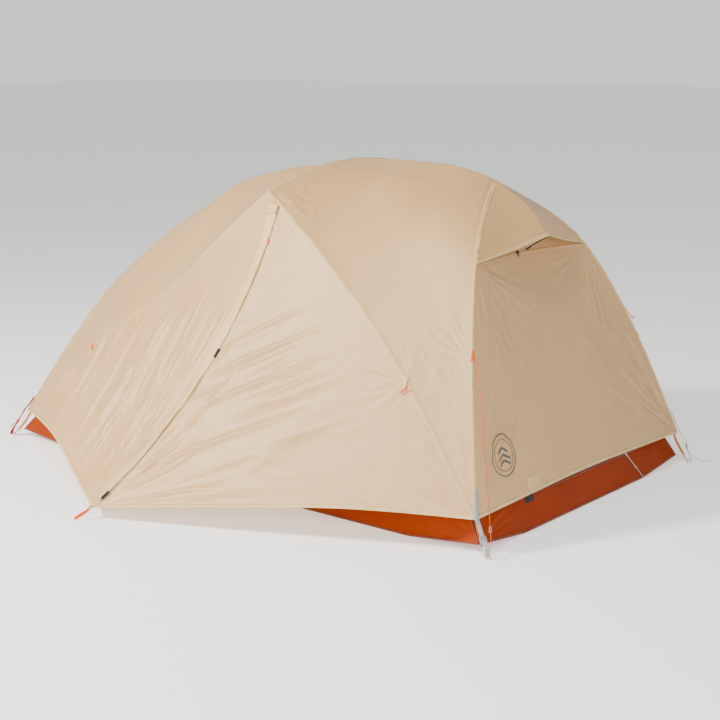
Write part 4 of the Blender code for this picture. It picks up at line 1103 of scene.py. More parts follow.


# This sheet stands for a real net over the vent gap; it is placed under the visor and coloured darker than the
# fly as painted shade.
vent_net = Panel(both_sides(vent_net_half), count(90), count(24))
piece("vent_net", [cloth(vent_net)], VENT_NET_PAINTED_SHADE, "tent", "fly_fabric")
low = np.array(VENT_SILL) + (0.010, 0.0, 0.004)
high = np.array(VENT_PEAK) - (0.010, 0.0, 0.0075)
way = unit(high - low)
stay = [low + way * 0.002, (low + high) / 2 + np.array((-0.0015, 0, 0.001)), high - way * 0.002]
prop = [strap(smooth(stay, 16), (0.0, 1.0, 0.0), 0.012, 0.0022),
        strap([low + way * 0.002, low + way * 0.020], (0.0, 1.0, 0.0), 0.0135, 0.0036)]
piece("vent_prop_stay", prop, BLACK_WEB, "vent_prop", "black_webbing", ("vent_prop",))
pad = np.array(VENT_SILL) + (0.006, -0.046, -0.009)
patch_block = block(pad, (0, 1, 0), (0.17, 0, -0.98), (0.98, 0, 0.17), (0.016, 0.026, 0.003), 0.4)
piece("vent_hook_patch", [patch_block], BLACK_WEB, "tent", "black_webbing")

# ---- Toggles, tabs and bar tacks -----------------------------------------------------------
TOGGLE_DROP, TOGGLE_STAND = 0.028, 0.0080
TOGGLES = (("head", seam_head, 0.500, door_head_side, 0.020),
           ("foot", seam_foot, 0.432, door_foot_side, 0.006))


def seam_place(curve, t, sign, inside_point):
    """A point of a seam, the way along it, and outward from a point inside the tent."""
    spot = side(curve(t), sign)
    along = unit(side(curve(min(t + 0.01, 1.0)) - curve(max(t - 0.01, 0.0)), sign))
    out = spot - np.array(inside_point)
    return spot, along, unit(out - along * np.dot(out, along))


for label, seam, height, door, reach in TOGGLES:
    at_seam = where(seam, height)
    spot = seam(at_seam)
    along = unit(seam(at_seam + 0.02) - seam(at_seam - 0.02))
    away = door(0.5, 0.55) - spot
    away = unit(away - along * np.dot(away, along))
    out = np.cross(along, away)
    out = unit(out * np.sign(-out[1]))
    centre = spot + along * TOGGLE_DROP + away * reach + out * TOGGLE_STAND
    for side_name, side_sign in SIDES:
        w, o = side(away, side_sign), side(out, side_sign)
        c, top = side(centre, side_sign), side(spot, side_sign) + side(out, side_sign) * 0.0016
        steps = np.linspace(-1, 1, 13)
        thick = 0.0022 + 0.0006 * np.abs(steps) ** 3 - 0.0010 * (np.abs(steps) > 0.99)
        held = c + o * 0.0025                    # the bar turns just above its tab
        bar = [rod([held + w * 0.015 * x for x in steps], thick * 1.35, 10),
               torus(held, w, 0.0028, 0.0006, 14, 6)]
        piece(f"toggle_{label}_{side_name}_bar", bar, ORANGE_PLASTIC, f"toggle_{label}_{side_name}",
              "orange_plastic", (f"door_toggle_{label}_{side_name}",), 40)
        route = smooth([top - unit(c - top) * 0.010, top + o * 0.001, (top + c) / 2 + o * 0.0004,
                        c - o * 0.0021], 14)
        width = np.linspace(0.017, 0.0065, 14)
        cross_way = unit(np.cross(o, route[-1] - route[0]))
        piece(f"toggle_{label}_{side_name}_tab", [band(route, cross_way, o, width, 0.0011)], TAPE,
              "tent", "fly_fabric")

for side_name, side_sign in SIDES:
    spot, along, out = seam_place(leg_head, 0.610, side_sign, INSIDE_HEAD)
    peak, ring = spot + out * 0.0022 - along * 0.034, spot + out * 0.010 + along * 0.012
    line = smooth([peak, spot + out * 0.004 - along * 0.010, ring - along * 0.003 - out * 0.002], 12)
    tab = [band(line, np.cross(along, out), out, np.linspace(0.004, 0.015, 12), 0.0014)]
    loop = [torus(ring, np.cross(along, out), 0.0065, 0.0011, 20, 8, (1.0, 0.75), along)]
    piece(f"guy_tab_{side_name}", tab, ORANGE_WEB, "tent", "orange_webbing")
    piece(f"guy_ring_{side_name}", loop, GREY_PLASTIC, "tent", "grey_plastic")
    line = smooth([ring + out * 0.002, ring + out * 0.005 + along * 0.004, ring + along * 0.009 + out * 0.001,
                   ring - out * 0.004 + along * 0.006, ring + along * 0.002], 24)
    piece(f"guy_knot_{side_name}", [rod(line, 0.0012)], GUY_CORD, "tent", "orange_cord")
    tacks = []
    for leg, at_leg, middle in ((leg_head, 0.309, INSIDE_HEAD), (leg_head, 0.674, INSIDE_HEAD),
                                (leg_foot, 0.60, INSIDE_FOOT)):
        spot, along, out = seam_place(leg, at_leg, side_sign, middle)
        tacks.append(block(spot + out * 0.0022, along, np.cross(out, along), out,
                           (0.012, 0.006, 0.0014), 0.4))
    piece(f"bar_tacks_{side_name}", tacks, TACK, "tent", "orange_webbing")
spot = ridge_head(0.859) + np.array((0, 0, 0.0016))
piece("bar_tack_ridge", [block(spot, (1, 0, -0.2), (0, 1, 0), (0.2, 0, 1), (0.012, 0.007, 0.0014), 0.4)],
      TACK, "tent", "orange_webbing")

# ---- Guyline tensioner ---------------------------------------------------------------------
middle = guyline_point(0.92)
line_way = unit(guyline_point(0.93) - guyline_point(0.91))
line_side = unit(np.cross(line_way, (0, 0, 1)))
line_out = np.cross(line_side, line_way)
lock = [block(middle + line_side * 0.0030 * k, line_way, line_out, line_side, (0.020, 0.0060, 0.0022), 0.45)
        for k in (-1, 1)]
for share in (-0.0085, 0.0, 0.0085):
    post = middle + line_way * share + line_out * (0.0021 if share else -0.0021)
    lock.append(rod([post - line_side * 0.0032, post + line_side * 0.0032], 0.0009, 8))
piece("guy_tensioner_body", lock, GREY_PLASTIC, "guy_tensioner", "grey_plastic", ("guy_tensioner",), 35)


# ---- Corner straps, their buckles and grommets ---------------------------------------------
def ladder_lock(centre, along, across, up, half_width, bar, spread, lifts, radius, reach):
    """A ladder-lock's two side bars and its three cross bars."""
    parts = [block(centre + across * half_width * k, along, across, up, bar, 0.4) for k in (-1, 1)]
    for share, lift in ((-spread, lifts[0]), (0.0, lifts[1]), (spread, lifts[0])):
        middle = centre + along * share + up * lift
        parts.append(rod([middle - across * reach, middle + across * reach], radius, 8))
    return parts


def corner_hardware(end, label, side_name, sign):
    corner, tip = (HEAD_CORNER, HEAD_TIP) if end > 0 else (FOOT_CORNER, FOOT_TIP)
    leg = leg_head if end > 0 else leg_foot
    web = GREY_WEB if end > 0 else RED_WEB
    web_slot = "grey_webbing" if end > 0 else "red_webbing"
    out = unit((corner[0], corner[1], 0.0))
    corner, tip = np.array(corner), np.array(tip)
    high = corner + out * 0.008 + np.array((0, 0, 0.004))
    low = tip + out * 0.014 + np.array((0, 0, 0.010))
    down = unit(low - high)
    flat = unit(out - down * np.dot(out, down))
    spot = low + (high - low) * 0.45
    across = np.cross(down, flat)
    on_leg = leg(0.935) + out * 0.0045
    routes = [
        [on_leg, leg(0.97) + out * 0.0055, high - down * 0.002, high + down * 0.020,
         spot - down * 0.008 - flat * 0.0002, spot + down * 0.004 - flat * 0.0006],
        [spot - down * 0.003 + flat * 0.0022, spot + down * 0.010 + flat * 0.0016,
         low - down * 0.012 + flat * 0.001, low - down * 0.002 - flat * 0.002,
         tip + out * 0.004 + np.array((0, 0, 0.0065))],
        [spot + down * 0.004 - flat * 0.0006, low - down * 0.020 - flat * 0.0024,
         tip + out * 0.005 + np.array((0, 0, 0.010))]]
    tail_out = 0.012 if sign < 0 else 0.006
    tail_way = down if sign < 0 else -down
    routes.append([spot + flat * 0.0018 - tail_way * 0.006, spot + flat * 0.0040 + tail_way * 0.006,
                   spot + flat * (0.004 + tail_out * 0.6) + tail_way * 0.018,
                   spot + flat * (0.003 + tail_out) + tail_way * 0.034])
    web_parts = []
    for route in routes:
        line = side(smooth(route, 26), sign)
        web_parts.append(strap(line, side(across, sign), WEBBING_WIDTH * 0.94, 0.0012))
    piece(f"corner_strap_{label}_{side_name}_web", web_parts, web, "tent", web_slot,
          (f"corner_strap_{label}_{side_name}",))
    line = side(smooth([leg(0.925) + out * 0.0052, leg(0.965) + out * 0.0072,
                        high - down * 0.001 + flat * 0.0014, high + down * 0.016 + flat * 0.0012], 20), sign)
    width = 0.0135 - 0.004 * (np.abs(np.linspace(-1, 1, 20)) > 0.97)
    piece(f"corner_tab_{label}_{side_name}", [band(line, side(across, sign), side(flat, sign), width, 0.0014)],
          LAMINATE if end > 0 else RED_WEB, "tent", web_slot)
    # ladder-lock buckle with a lifting lip
    c, d, f, x = side(spot, sign), side(down, sign), side(flat, sign), side(across, sign)
    parts = ladder_lock(c, d, x, f, 0.0098, (0.019, 0.0030, 0.0046), 0.0080, (0.0005, 0.0024), 0.0013, 0.0095)
    parts.append(block(c - d * 0.0098 + f * 0.0034, d, x, f + d * 0.35, (0.0050, 0.0200, 0.0014), 0.35))
    finish, plastic = (GREY_PLASTIC, "grey_plastic") if end > 0 else (ORANGE_PLASTIC, "orange_plastic")
    name = f"corner_buckle_{label}_{side_name}"
    piece(f"{name}_lock", parts, finish, f"buckle_{label}_{side_name}", plastic, (name,), 35)
    pole_way = unit(leg(0.9) - tip)
    ring = side(tip + pole_way * 0.012, sign)
    piece(f"grommet_{label}_{side_name}", [torus(ring, side(pole_way, sign), 0.0052, 0.0012, 22, 8)], STEEL,
          "tent", "tip_alloy")
    # thin elastic from the floor's corner to the strap
    half_width = FLOOR_HALF_WIDTH_HEAD if end > 0 else FLOOR_HALF_WIDTH_FOOT
    floor_corner = np.array((end * (FLOOR_HALF_LENGTH - 0.002), 0.002 - half_width,
                             FLOOR_CORNER_LIFT + 0.003))
    sag = np.array((0, 0, -0.004))
    reach = smooth([floor_corner, (floor_corner + low) / 2 + sag, low - down * 0.004], 10)
    piece(f"corner_elastic_{label}_{side_name}",
          [band(side(reach, sign), side(across, sign), (0, 0, 1), 0.0036, 0.0012)],
          GREY_CORD if end > 0 else GUY_CORD, "tent", web_slot)


for side_name, side_sign in SIDES:
    corner_hardware(1, "head", side_name, side_sign)
    corner_hardware(-1, "foot", side_name, side_sign)

# ---- Stake loops at the vestibule corners --------------------------------------------------
for side_name, side_sign in SIDES:
    start = np.array(DOOR_CORNER) + (-0.006, -0.008, -0.006)
    end_point = np.array(DOOR_CORNER) + (-0.034, -0.050, -0.0345)
    way = unit(end_point - start)
    level = unit(np.cross((0, 0, 1), way))
    up = np.cross(way, level)
    reach = np.linalg.norm(end_point - start)
    ring = []
    for angle in np.linspace(0, 2 * math.pi, 30, endpoint=False):
        out_along = 0.5 * reach * (1 - math.cos(angle))
        sideways = level * 0.0058 * math.sin(angle) * (1 - 0.35 * math.cos(angle))
        ring.append(start + way * (0.001 + out_along * 0.96) + sideways)
    ring = side(np.array(ring), side_sign)
    centre = ring.mean(axis=0)
    rings = []
    thick_way = side(up, side_sign)
    for point in ring:
        outward = unit(point - centre)
        rings.append([point + thick_way * 0.0040 * a + outward * 0.0006 * b
                      for a, b in ((1, 1), (1, -1), (-1, -1), (-1, 1))])
    loop = [loft(rings, closed=True)]
    tail_line = smooth([start - way * 0.012 + up * 0.008, start + up * 0.005,
                        start + way * 0.014 + up * 0.0035 + level * 0.006,
                        start + way * 0.030 + up * 0.0015 + level * 0.013], 16)
    loop.append(band(side(tail_line, side_sign), side(level, side_sign), thick_way, 0.0085, 0.0012))
    piece(f"stake_loop_{side_name}_web", loop, ORANGE_WEB, f"door_head_{side_name}", "orange_webbing",
          (f"stake_loop_{side_name}",))
    c, d, f, x = (side(v, side_sign) for v in (start - way * 0.006 + up * 0.0035, way, up, level))
    lock = ladder_lock(c, d, x, f, 0.0085, (0.017, 0.0026, 0.0044), 0.0070, (0.0004, 0.0022), 0.0012, 0.0085)
    piece(f"stake_buckle_{side_name}", lock, GREY_PLASTIC, f"door_head_{side_name}", "grey_plastic", (), 35)

# ---- Head wall details: mark, patch, tab and middle ties -----------------------------------
wall = panels["fly_wall_head_cloth"]


def wall_place(y, z):
    """The panel parameters of the place on the head wall with that y and z."""
    gap = np.hypot(wall.points[..., 1] - y, wall.points[..., 2] - z)
    j, i = np.unravel_index(np.argmin(gap), gap.shape)
    return i / (gap.shape[1] - 1), j / (gap.shape[0] - 1)


def on_wall(y, z, lift):
    u, v = wall_place(y, z)
    spot = wall.at(u, v, lift)
    right = unit(wall.at(min(u + 0.02, 1), v) - wall.at(max(u - 0.02, 0), v))
    out = unit(wall.at(u, v, 0.01) - wall.at(u, v))
    return spot, right, unit(np.cross(out, right)), out


def drawn_on_wall(y, z, offsets, lift):
    """Points of the wall at offsets, in metres across and up, from the place with that y and z."""
    u, v = wall_place(y, z)
    step = 0.01
    across = (wall.at(u + step, v) - wall.at(u - step, v)) / (2 * step)
    down = (wall.at(u, v + step) - wall.at(u, v - step)) / (2 * step)
    axes = np.array([[across[1], down[1]], [across[2], down[2]]])
    shares = np.linalg.solve(axes, np.array(offsets, float).T)
    return wall.at(u + shares[0], v + shares[1], lift)


MARK = (-0.470, 0.268)
mark = []
turn = np.linspace(0, 2 * math.pi, 61)
for radius, width in ((0.066, 0.0042), (0.050, 0.0026)):
    line = drawn_on_wall(*MARK, np.stack((radius * np.cos(turn), radius * np.sin(turn)), axis=1), 0.0010)
    mark.append(band(line, unit(line - line[:-1].mean(0)), (1, 0, 0.2), width, 0.0004))
for size, drop in ((0.024, 0.014), (0.030, -0.006), (0.024, -0.026)):
    for way in (-1, 1):
        share = np.linspace(0, 1, 8)
        leg = np.stack((way * size * share, drop + 0.008 - size * 0.6 * share), axis=1)
        line = drawn_on_wall(*MARK, leg, 0.0010)
        mark.append(band(line, (0, 0, 1), (1, 0, 0.2), 0.0095, 0.0004))
piece("wall_mark", mark, PRINT, "tent", "fly_fabric")
spot, right, up, out = on_wall(-0.335, 0.150, 0.0012)
piece("wall_patch", [block(spot, right, up, out, (0.072, 0.044, 0.0009), 0.2)], TAPE, "tent", "fly_fabric")
spot, right, up, out = on_wall(-0.385, 0.119, 0.0006)
tab = block(spot - up * 0.012 + out * 0.001, right, up, out, (0.052, 0.020, 0.0014), 0.25)
piece("hem_tab", [tab], BLACK_WEB, "tent", "black_webbing")
for side_name, side_sign in SIDES:
    for label, x_end in (("head", 1.0), ("foot", -1.0)):
        if label == "head" and side_sign < 0:
            continue
        y = 0.263 * side_sign * (1.0 if label == "head" else 0.8)
        grid = panels[f"fly_wall_{label}_cloth"].points[-1]
        top = grid[np.argmin(np.abs(grid[:, 1] - y))] + np.array((-0.004 * x_end, 0, 0.004))
        bottom = np.array((x_end * (FLOOR_HALF_LENGTH + 0.001), top[1] + 0.14 * side_sign, 0.004))
        line = np.linspace(top, bottom, 8)
        middle = (top + bottom) / 2
        tie = [band(line, (0, 1, 0), (1, 0, 0), 0.0040, 0.0012)]
        fall = bottom - top
        catch = [block(spot, fall, (0, 1, 0), (1, 0, 0), size, 0.35) for spot, size in (
            (middle + fall * 0.10, (0.022, 0.0085, 0.0034)), (top + fall * 0.12, (0.020, 0.0120, 0.0016)))]
        piece(f"end_tie_{label}_{side_name}", tie, GREY_CORD, "tent", "grey_cord")
        piece(f"end_tie_catch_{label}_{side_name}", catch, GREY_PLASTIC, "tent", "grey_plastic")

# ---- Floor and tub -------------------------------------------------------------------------
TUB_HEAD, TUB_FOOT = inner(HEAD_CORNER), inner(FOOT_CORNER)


def floor_half_width(x):
    share = (x + FLOOR_HALF_LENGTH) / (2 * FLOOR_HALF_LENGTH)
    return FLOOR_HALF_WIDTH_FOOT + share * (FLOOR_HALF_WIDTH_HEAD - FLOOR_HALF_WIDTH_FOOT)


def floor_height(x, y):
    near_end = np.maximum(0.0, (np.abs(x) / FLOOR_HALF_LENGTH - 0.75) / 0.25)
    near_side = np.maximum(0.0, (np.abs(y) / floor_half_width(x) - 0.60) / 0.40)
    return FLOOR_CORNER_LIFT * near_end * near_side


def floor_surface(u, v):
    x = (2 * u - 1) * FLOOR_HALF_LENGTH
    y = (2 * v - 1) * floor_half_width(x)
    return np.stack((x, y, floor_height(x, y) + 0.0008), axis=-1)


def floor_relief(u, v, p, cut):
    folds = np.maximum(0.0, streaks(p, (1.0, 0.1, 0.0), 0.11, 0.9, 411)) * 0.0022
    return -inside(u, v, 0.08) * folds


def long_tub(u, v):
    x = (2 * u - 1) * FLOOR_HALF_LENGTH
    low = np.stack((x, -floor_half_width(x), floor_height(x, -floor_half_width(x)) + 0.0012), axis=-1)
    high = TUB_FOOT + (TUB_HEAD - TUB_FOOT) * u[..., None]
    return low + (high - low) * v[..., None]


def end_tub(x, top):
    def surface(u, v):
        width = float(floor_half_width(x))
        y = (2 * u - 1) * width
        low = np.stack((np.full_like(y, x), y, floor_height(np.full_like(y, x), y) + 0.0012), axis=-1)
        high = side(top, 1) * u[..., None] + top * (1 - u[..., None])
        return low + (high - low) * v[..., None]

    return surface


def tub_relief(seed, ends):
    def relief(u, v, p, cut):
        total = 0.0022 * noise(u * 9, v * 0.8, seed) * rise(v, 0, 0.3) * rise(1 - v, 0, 0.3)
        for number, spot in enumerate(ends):
            heading = unit(p[len(p) // 2, p.shape[1] // 2] - np.array(spot))
            total = total + fan(p, spot, heading, 9.0, 0.26, 0.0042, seed + 1 + number, 1.3)
        return total * rise(v, 0, 0.08) * rise(1 - v, 0, 0.08)

    return relief


floor_panel = Panel(floor_surface, count(150), count(90), floor_relief, -1, (0.0, 0.0, 1.0))
sheet("tub_floor_cloth", floor_panel, RUST, slot="floor_fabric")
head_corner_low = (FLOOR_HALF_LENGTH, -FLOOR_HALF_WIDTH_HEAD, FLOOR_CORNER_LIFT)
foot_corner_low = (-FLOOR_HALF_LENGTH, -FLOOR_HALF_WIDTH_FOOT, FLOOR_CORNER_LIFT)
for side_name, side_sign in SIDES:
    relief = tub_relief(421 + side_sign, (head_corner_low, foot_corner_low))
    sheet(f"tub_wall_{side_name}_cloth", Panel(long_tub, count(200), count(16), relief, side_sign), RUST,
          slot="floor_fabric")
for label, x_end, top, spot in (("head", FLOOR_HALF_LENGTH, TUB_HEAD, head_corner_low),
                                ("foot", -FLOOR_HALF_LENGTH, TUB_FOOT, foot_corner_low)):
    panel = Panel(end_tub(x_end, top), count(130), count(16), tub_relief(431, (spot, tuple(side(spot, 1)))))
    sheet(f"tub_wall_{label}_cloth", panel, RUST, slot="floor_fabric")
trim, sewn = [], []
for label in ("front", "back", "head", "foot"):
    panel = panels[f"tub_wall_{label}_cloth"]
    trim += [border(panel, "north", RUN, 0.007, 0.0012, 0.0012),
             border(panel, "south", RUN, 0.008, 0.0010, 0.0008)]
    trim += [border(panel, edge, np.linspace(0, 1, 16), 0.007, 0.0009) for edge in ("west", "east")]
    sewn += [seam_stitches(panel, "north", RUN[1:-1], 0.0055, 0.0014),
             seam_stitches(panel, "south", RUN[1:-1], 0.0062, 0.0012)]
piece("tub_seam_tapes", trim, RUST_TAPE, "tent", "floor_fabric")
piece("tub_stitching", sewn, THREAD, "tent", "floor_fabric")

# ---- Inner tent ----------------------------------------------------------------------------
roof_line = inner(np.concatenate((seam_foot(np.linspace(1, 0, 240)),
                                  seam_head(np.linspace(0, 1, 240)[1:]))))


def side_wall(x, height):
    """A point of the inner side wall, height 0 at the tub's edge and 1 at the roof seam."""
    x = np.asarray(x, float)
    share = ((x - TUB_FOOT[0]) / (TUB_HEAD[0] - TUB_FOOT[0]))[..., None]
    foot_point = TUB_FOOT + share * (TUB_HEAD - TUB_FOOT)
    top = np.stack((x, *(np.interp(x, roof_line[:, 0], roof_line[:, k]) for k in (1, 2))), axis=-1)
    return foot_point + np.asarray(height, float)[..., None] * (top - foot_point)


def wall_marks(x):
    """The heights of the doorway's sill and lintel at a place along the side wall."""
    tall = np.linalg.norm(side_wall(x, np.ones_like(x)) - side_wall(x, np.zeros_like(x)), axis=-1)
    tall = np.maximum(tall, 1e-4)
    return np.minimum(DOOR_SILL / tall, 0.25), np.maximum(0.93 - 0.030 / tall, 0.60), tall


LEFT, RIGHT = INNER_DOOR_X
DOOR_U, DOOR_V = (0.36, 0.72), (0.15, 0.88)      # the doorway's place in the wall's grid


def inner_wall_surface(u, v):
    first, last = TUB_FOOT[0] + 0.004, TUB_HEAD[0] - 0.004
    x = np.interp(u, (0, *DOOR_U, 1), (first, LEFT, RIGHT, last))
    sill, lintel, _ = wall_marks(x)
    height = np.where(v < DOOR_V[0], v / DOOR_V[0] * sill,
                      np.where(v < DOOR_V[1],
                               sill + (v - DOOR_V[0]) / (DOOR_V[1] - DOOR_V[0]) * (lintel - sill),
                               lintel + (v - DOOR_V[1]) / (1 - DOOR_V[1]) * (1 - lintel)))
    return side_wall(x, height)


def inner_leaf(u, v):
    x = LEFT + 0.004 + (RIGHT - LEFT - 0.008) * u
    sill, lintel, tall = wall_marks(x)
    low, high = sill + 0.004 / tall, lintel - 0.004 / tall
    return side_wall(x, low + (high - low) * v)


def wall_section(across, upward):
    """One sewn piece of the side wall, from its share of the wall's grid."""
    return lambda u, v: inner_wall_surface(np.interp(u, (0, 1), across), np.interp(v, (0, 1), upward))


def inner_end(leg):
    return lambda u, v: inner(leg(v) * np.stack((np.ones_like(u), 1 - 2 * u, np.ones_like(u)), axis=-1))


def soft(seed, height=0.002):
    return lambda u, v, p, cut: inside(u, v, 0.08) * height * (
        noise(u * 7, v * 5, seed) + 0.4 * noise(u * 19, v * 13, seed + 1))


for label, half, leg in (("head", roof_head_half, leg_head), ("foot", roof_foot_half, leg_foot)):
    crossing = both_sides(half)
    sheet(f"inner_roof_{label}_net",
          Panel(lambda u, v, f=crossing: inner(f(u, v)), count(110), count(80), soft(501)),
          NET, "tent", "inner_fabric")
    sheet(f"inner_wall_{label}_cloth", Panel(inner_end(leg), count(80), count(70), soft(511)),
          INNER, "tent", "inner_fabric")
for side_name, side_sign in SIDES:
    for label, across, upward, nodes in (
            ("foot", (0, DOOR_U[0]), (0, 1), (f"inner_wall_{side_name}",)),
            ("head", (DOOR_U[1], 1), (0, 1), ()),
            ("sill", DOOR_U, (0, DOOR_V[0]), ()), ("lintel", DOOR_U, (DOOR_V[1], 1), ())):
        columns, rows = (int(100 * (b - a) * FINE) for a, b in (across, upward))
        sheet(f"inner_wall_{side_name}_{label}_net",
              Panel(wall_section(across, upward), max(8, columns), max(8, rows), None, side_sign),
              NET, "tent", "inner_fabric", nodes=nodes)
    body = f"inner_door_{side_name}"
    sheet(f"inner_door_{side_name}_net",
          Panel(inner_leaf, count(90), count(70), soft(531, 0.0015), side_sign),
          NET, body, "inner_fabric")
    leaf = panels[f"inner_door_{side_name}_net"]
    spread = np.linspace(0, 1, 70)
    trims = [border(leaf, edge, spread, 0.010, 0.0009, 0.0009) for edge in ("north", "south", "east")]
    trims.append(border(leaf, "west", spread, 0.006, 0.0009, 0.0006))
    piece(f"inner_door_{side_name}_zip_tape", trims, GREY_WEB, body, "inner_fabric")
    frame_x = np.linspace(LEFT - 0.004, RIGHT + 0.004, 60)
    sill, lintel, _ = wall_marks(frame_x)
    trims = []
    normal = np.cross(side_wall(0.2, 0.0) - side_wall(0.0, 0.0), side_wall(0.1, 1.0) - side_wall(0.1, 0.0))
    normal = unit(side(normal, side_sign))
    for height in (sill, lintel):
        line = side(side_wall(frame_x, height), side_sign)
        upward = unit(np.cross(normal, np.gradient(line, axis=0)))
        trims.append(band(line, upward, normal, 0.008, 0.0012))
    for x in (LEFT - 0.002, RIGHT + 0.002):
        a, b, _ = wall_marks(np.array([x]))
        heights = np.linspace(float(a[0]), float(b[0]), 30)
        line = side(side_wall(np.full(30, x), heights), side_sign)
        trims.append(band(line, (1, 0, 0), normal, 0.008, 0.0012))
    piece(f"inner_doorway_{side_name}_tape", trims, GREY_WEB, "tent", "inner_fabric")
    # slider on the sill
    slider_x = RIGHT - 0.030
    sill_at = float(wall_marks(np.array([slider_x]))[0][0])
    begin = side_wall(slider_x, sill_at)
    finish_at = side_wall(LEFT, float(wall_marks(np.array([LEFT]))[0][0]))
    along = unit(finish_at - begin)
    outward = np.cross(along, side_wall(0.0, 1.0) - side_wall(0.0, 0.0))
    outward = unit(outward) * np.sign(-outward[1])
    c, d, f = (side(x, side_sign) for x in (begin + outward * 0.0065, along, outward))
    x = np.cross(d, f)
    parts = [block(c + f * 0.0008, d, x, f, (0.012, 0.0075, 0.0016), 0.5),
             block(c - f * 0.0020, d, x, f, (0.012, 0.0075, 0.0014), 0.5),
             rod([c - f * 0.002, c + f * 0.001], 0.0014), torus(c + f * 0.0026, x, 0.0020, 0.0006, 14, 6)]
    body = f"inner_slider_{side_name}"
    piece(f"{body}_body", parts, GREY_PLASTIC, body, "grey_plastic", (body,), 35)
    pull = [c + f * out - np.array((0, 0, fall)) for out, fall in ((0.0034, 0), (0.0036, 0.010), (0.0030, 0.026))]
    piece(f"inner_pull_{side_name}", [strap(smooth(pull, 10), d, 0.005, 0.0016)], ORANGE_WEB, body,
          "orange_webbing")
trim = []
for name in ("inner_roof_head_net", "inner_roof_foot_net"):
    trim += [border(panels[name], edge, RUN, 0.006, 0.0008) for edge in ("west", "east", "north", "south")]
piece("inner_seam_tapes", trim, GREY_WEB, "tent", "inner_fabric")

# ---- Poles, hubs and clips -----------------------------------------------------------------
for name, node in NODES.items():
    if name.startswith(("ridge_pole", "brow_pole", "leg_")):
        finish = POLE
    elif name.startswith("pole_tip"):
        finish = STEEL
    elif name.startswith(("hub_", "brow_clip")):
        finish = HUB_NYLON
    else:
        continue
    node.material_slots[0].material = finish
    node.data.shade_smooth()
    node.data.set_sharp_from_angle(angle=math.radians(40))
RIDGE_DEPTH, BROW_DEPTH = 0.0225, 0.0115      # how far the poles' middles are under the seams


def sleeve(centre, way):
    """A ferrule over a joint between two pole sections, with its ends turned in."""
    line = [centre + way * x for x in (-0.032, -0.030, 0.030, 0.032)]
    return rod(line, (0.0049, 0.0052, 0.0052, 0.0049), 14)


sleeves, clips = [], []
for curve, marks in ((ridge_head, (0.30, 0.75)), (ridge_foot, (0.22, 0.55, 0.82))):
    for mark in marks:
        sleeves.append(sleeve(curve(mark) - np.array((0, 0, RIDGE_DEPTH)),
                              unit(curve(mark + 0.01) - curve(mark - 0.01))))
for sign in (-1, 1):
    sleeves.append(sleeve(side(brow(0.5), sign) - np.array((0, 0, BROW_DEPTH)),
                          unit(side(brow(0.52) - brow(0.48), sign))))
piece("pole_ferrules", sleeves, STEEL, "tent", "tip_alloy", (), 40)
for curve, marks in ((ridge_head, (0.22, 0.52, 0.84)), (ridge_foot, (0.14, 0.38, 0.68, 0.90))):
    for mark in marks:
        pole = curve(mark) - np.array((0, 0, RIDGE_DEPTH))
        way = unit(curve(mark + 0.01) - curve(mark - 0.01))
        anchor = inner(curve(mark))
        up = np.array((0.0, 0.0, 1.0))
        clips.append(torus(pole, way, 0.0066, 0.0011, 20, 8))
        hanger = [pole - up * 0.0066, (pole + anchor) / 2 - up * 0.002, anchor + up * 0.001]
        clips.append(rod(hanger, 0.0013, 8))
        clips.append(block(anchor + up * 0.0012, way, (0, 1, 0), up, (0.016, 0.010, 0.0018), 0.4))
piece("inner_clips", clips, HUB_NYLON, "tent", "hub_nylon", (), 40)

# ---- Stage and light -----------------------------------------------------------------------
ROOM_WHITE = (1.0, 0.99, 0.975, 1.0)
HORIZON, OVERHEAD, FLOOR_GLOW = 1.00, 0.14, 0.63       # strengths of the sky and the floor
STAGE_REACH, STAGE_HEIGHT, LAMP_SIZE = 60.0, -0.0006, 0.9


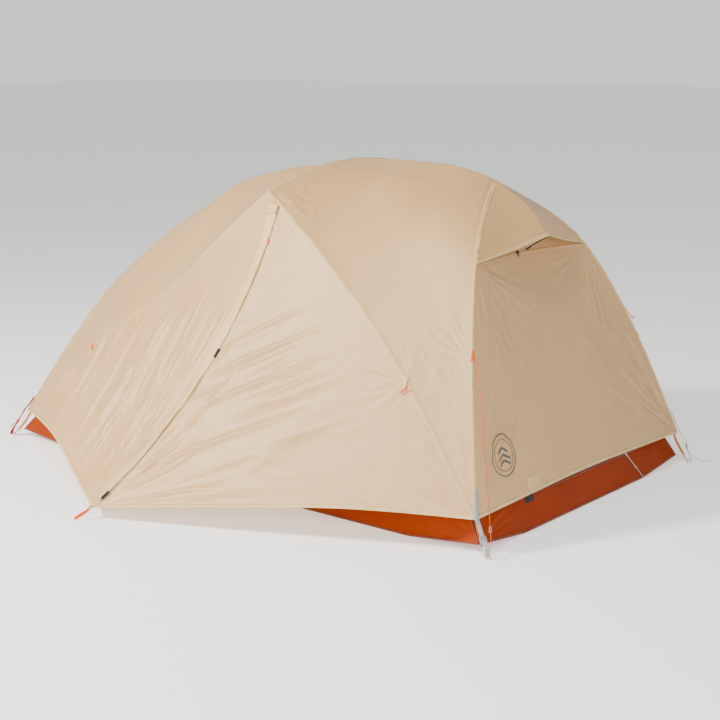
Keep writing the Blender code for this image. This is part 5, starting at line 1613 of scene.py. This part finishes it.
def stage_floor():
    mesh = bpy.data.meshes.new("stage_floor")
    mesh.from_pydata([(x * STAGE_REACH, y * STAGE_REACH, STAGE_HEIGHT)
                      for x, y in ((-1, -1), (1, -1), (1, 1), (-1, 1))], [], [(0, 1, 2, 3)])
    n = Nodes("stage_paper")
    grain = n.noise(n.place(), 0.02, 3.0)
    n.shade(n.colours(n.range(grain, 0.0, 1.0, 0.3, 0.7), (0.87, 0.87, 0.865), (0.89, 0.89, 0.885)),
            None, None, Roughness=0.95, Specular_IOR_Level=0.0, Emission_Strength=FLOOR_GLOW,
            Emission_Color=ROOM_WHITE)
    mesh.materials.append(n.material)
    made = bpy.data.objects.new("stage_floor", mesh)
    bpy.context.scene.collection.objects.link(made)


def area_light(name, location, target, power, colour):
    lamp = bpy.data.lights.new(name, "AREA")
    lamp.shape = "DISK"
    lamp.size = LAMP_SIZE
    lamp.energy = power
    lamp.color = colour
    made = bpy.data.objects.new(name, lamp)
    made.location = location
    made.rotation_mode = "QUATERNION"
    made.rotation_quaternion = (Vector(target) - Vector(location)).to_track_quat("-Z", "Y")
    bpy.context.scene.collection.objects.link(made)


def studio_sky():
    """A white room: bright from the floor to a little above the horizon, and dimmer overhead."""
    world = bpy.data.worlds.new("studio")
    world.use_nodes = True
    tree = world.node_tree
    place = tree.nodes.new("ShaderNodeTexCoord")
    split = tree.nodes.new("ShaderNodeSeparateXYZ")
    ramp = tree.nodes.new("ShaderNodeMapRange")
    ramp.interpolation_type = "SMOOTHSTEP"
    tree.links.new(place.outputs["Generated"], split.inputs[0])
    tree.links.new(split.outputs["Z"], ramp.inputs[0])
    for number, value in enumerate((0.26, 0.62, HORIZON, OVERHEAD), start=1):
        ramp.inputs[number].default_value = value
    background = tree.nodes["Background"]
    background.inputs["Color"].default_value = ROOM_WHITE
    tree.links.new(ramp.outputs[0], background.inputs["Strength"])
    bpy.context.scene.world = world


stage_floor()
studio_sky()
area_light("key", (-2.3, -4.3, 4.0), (0.0, -0.3, 0.5), 560, (1.0, 0.98, 0.94))
area_light("side", (3.0, -4.0, 2.0), (0.6, 0.0, 0.5), 90, (1.0, 0.98, 0.95))
area_light("top", (0.9, -2.4, 4.8), (0.4, -0.1, 0.8), 130, (1.0, 0.98, 0.95))
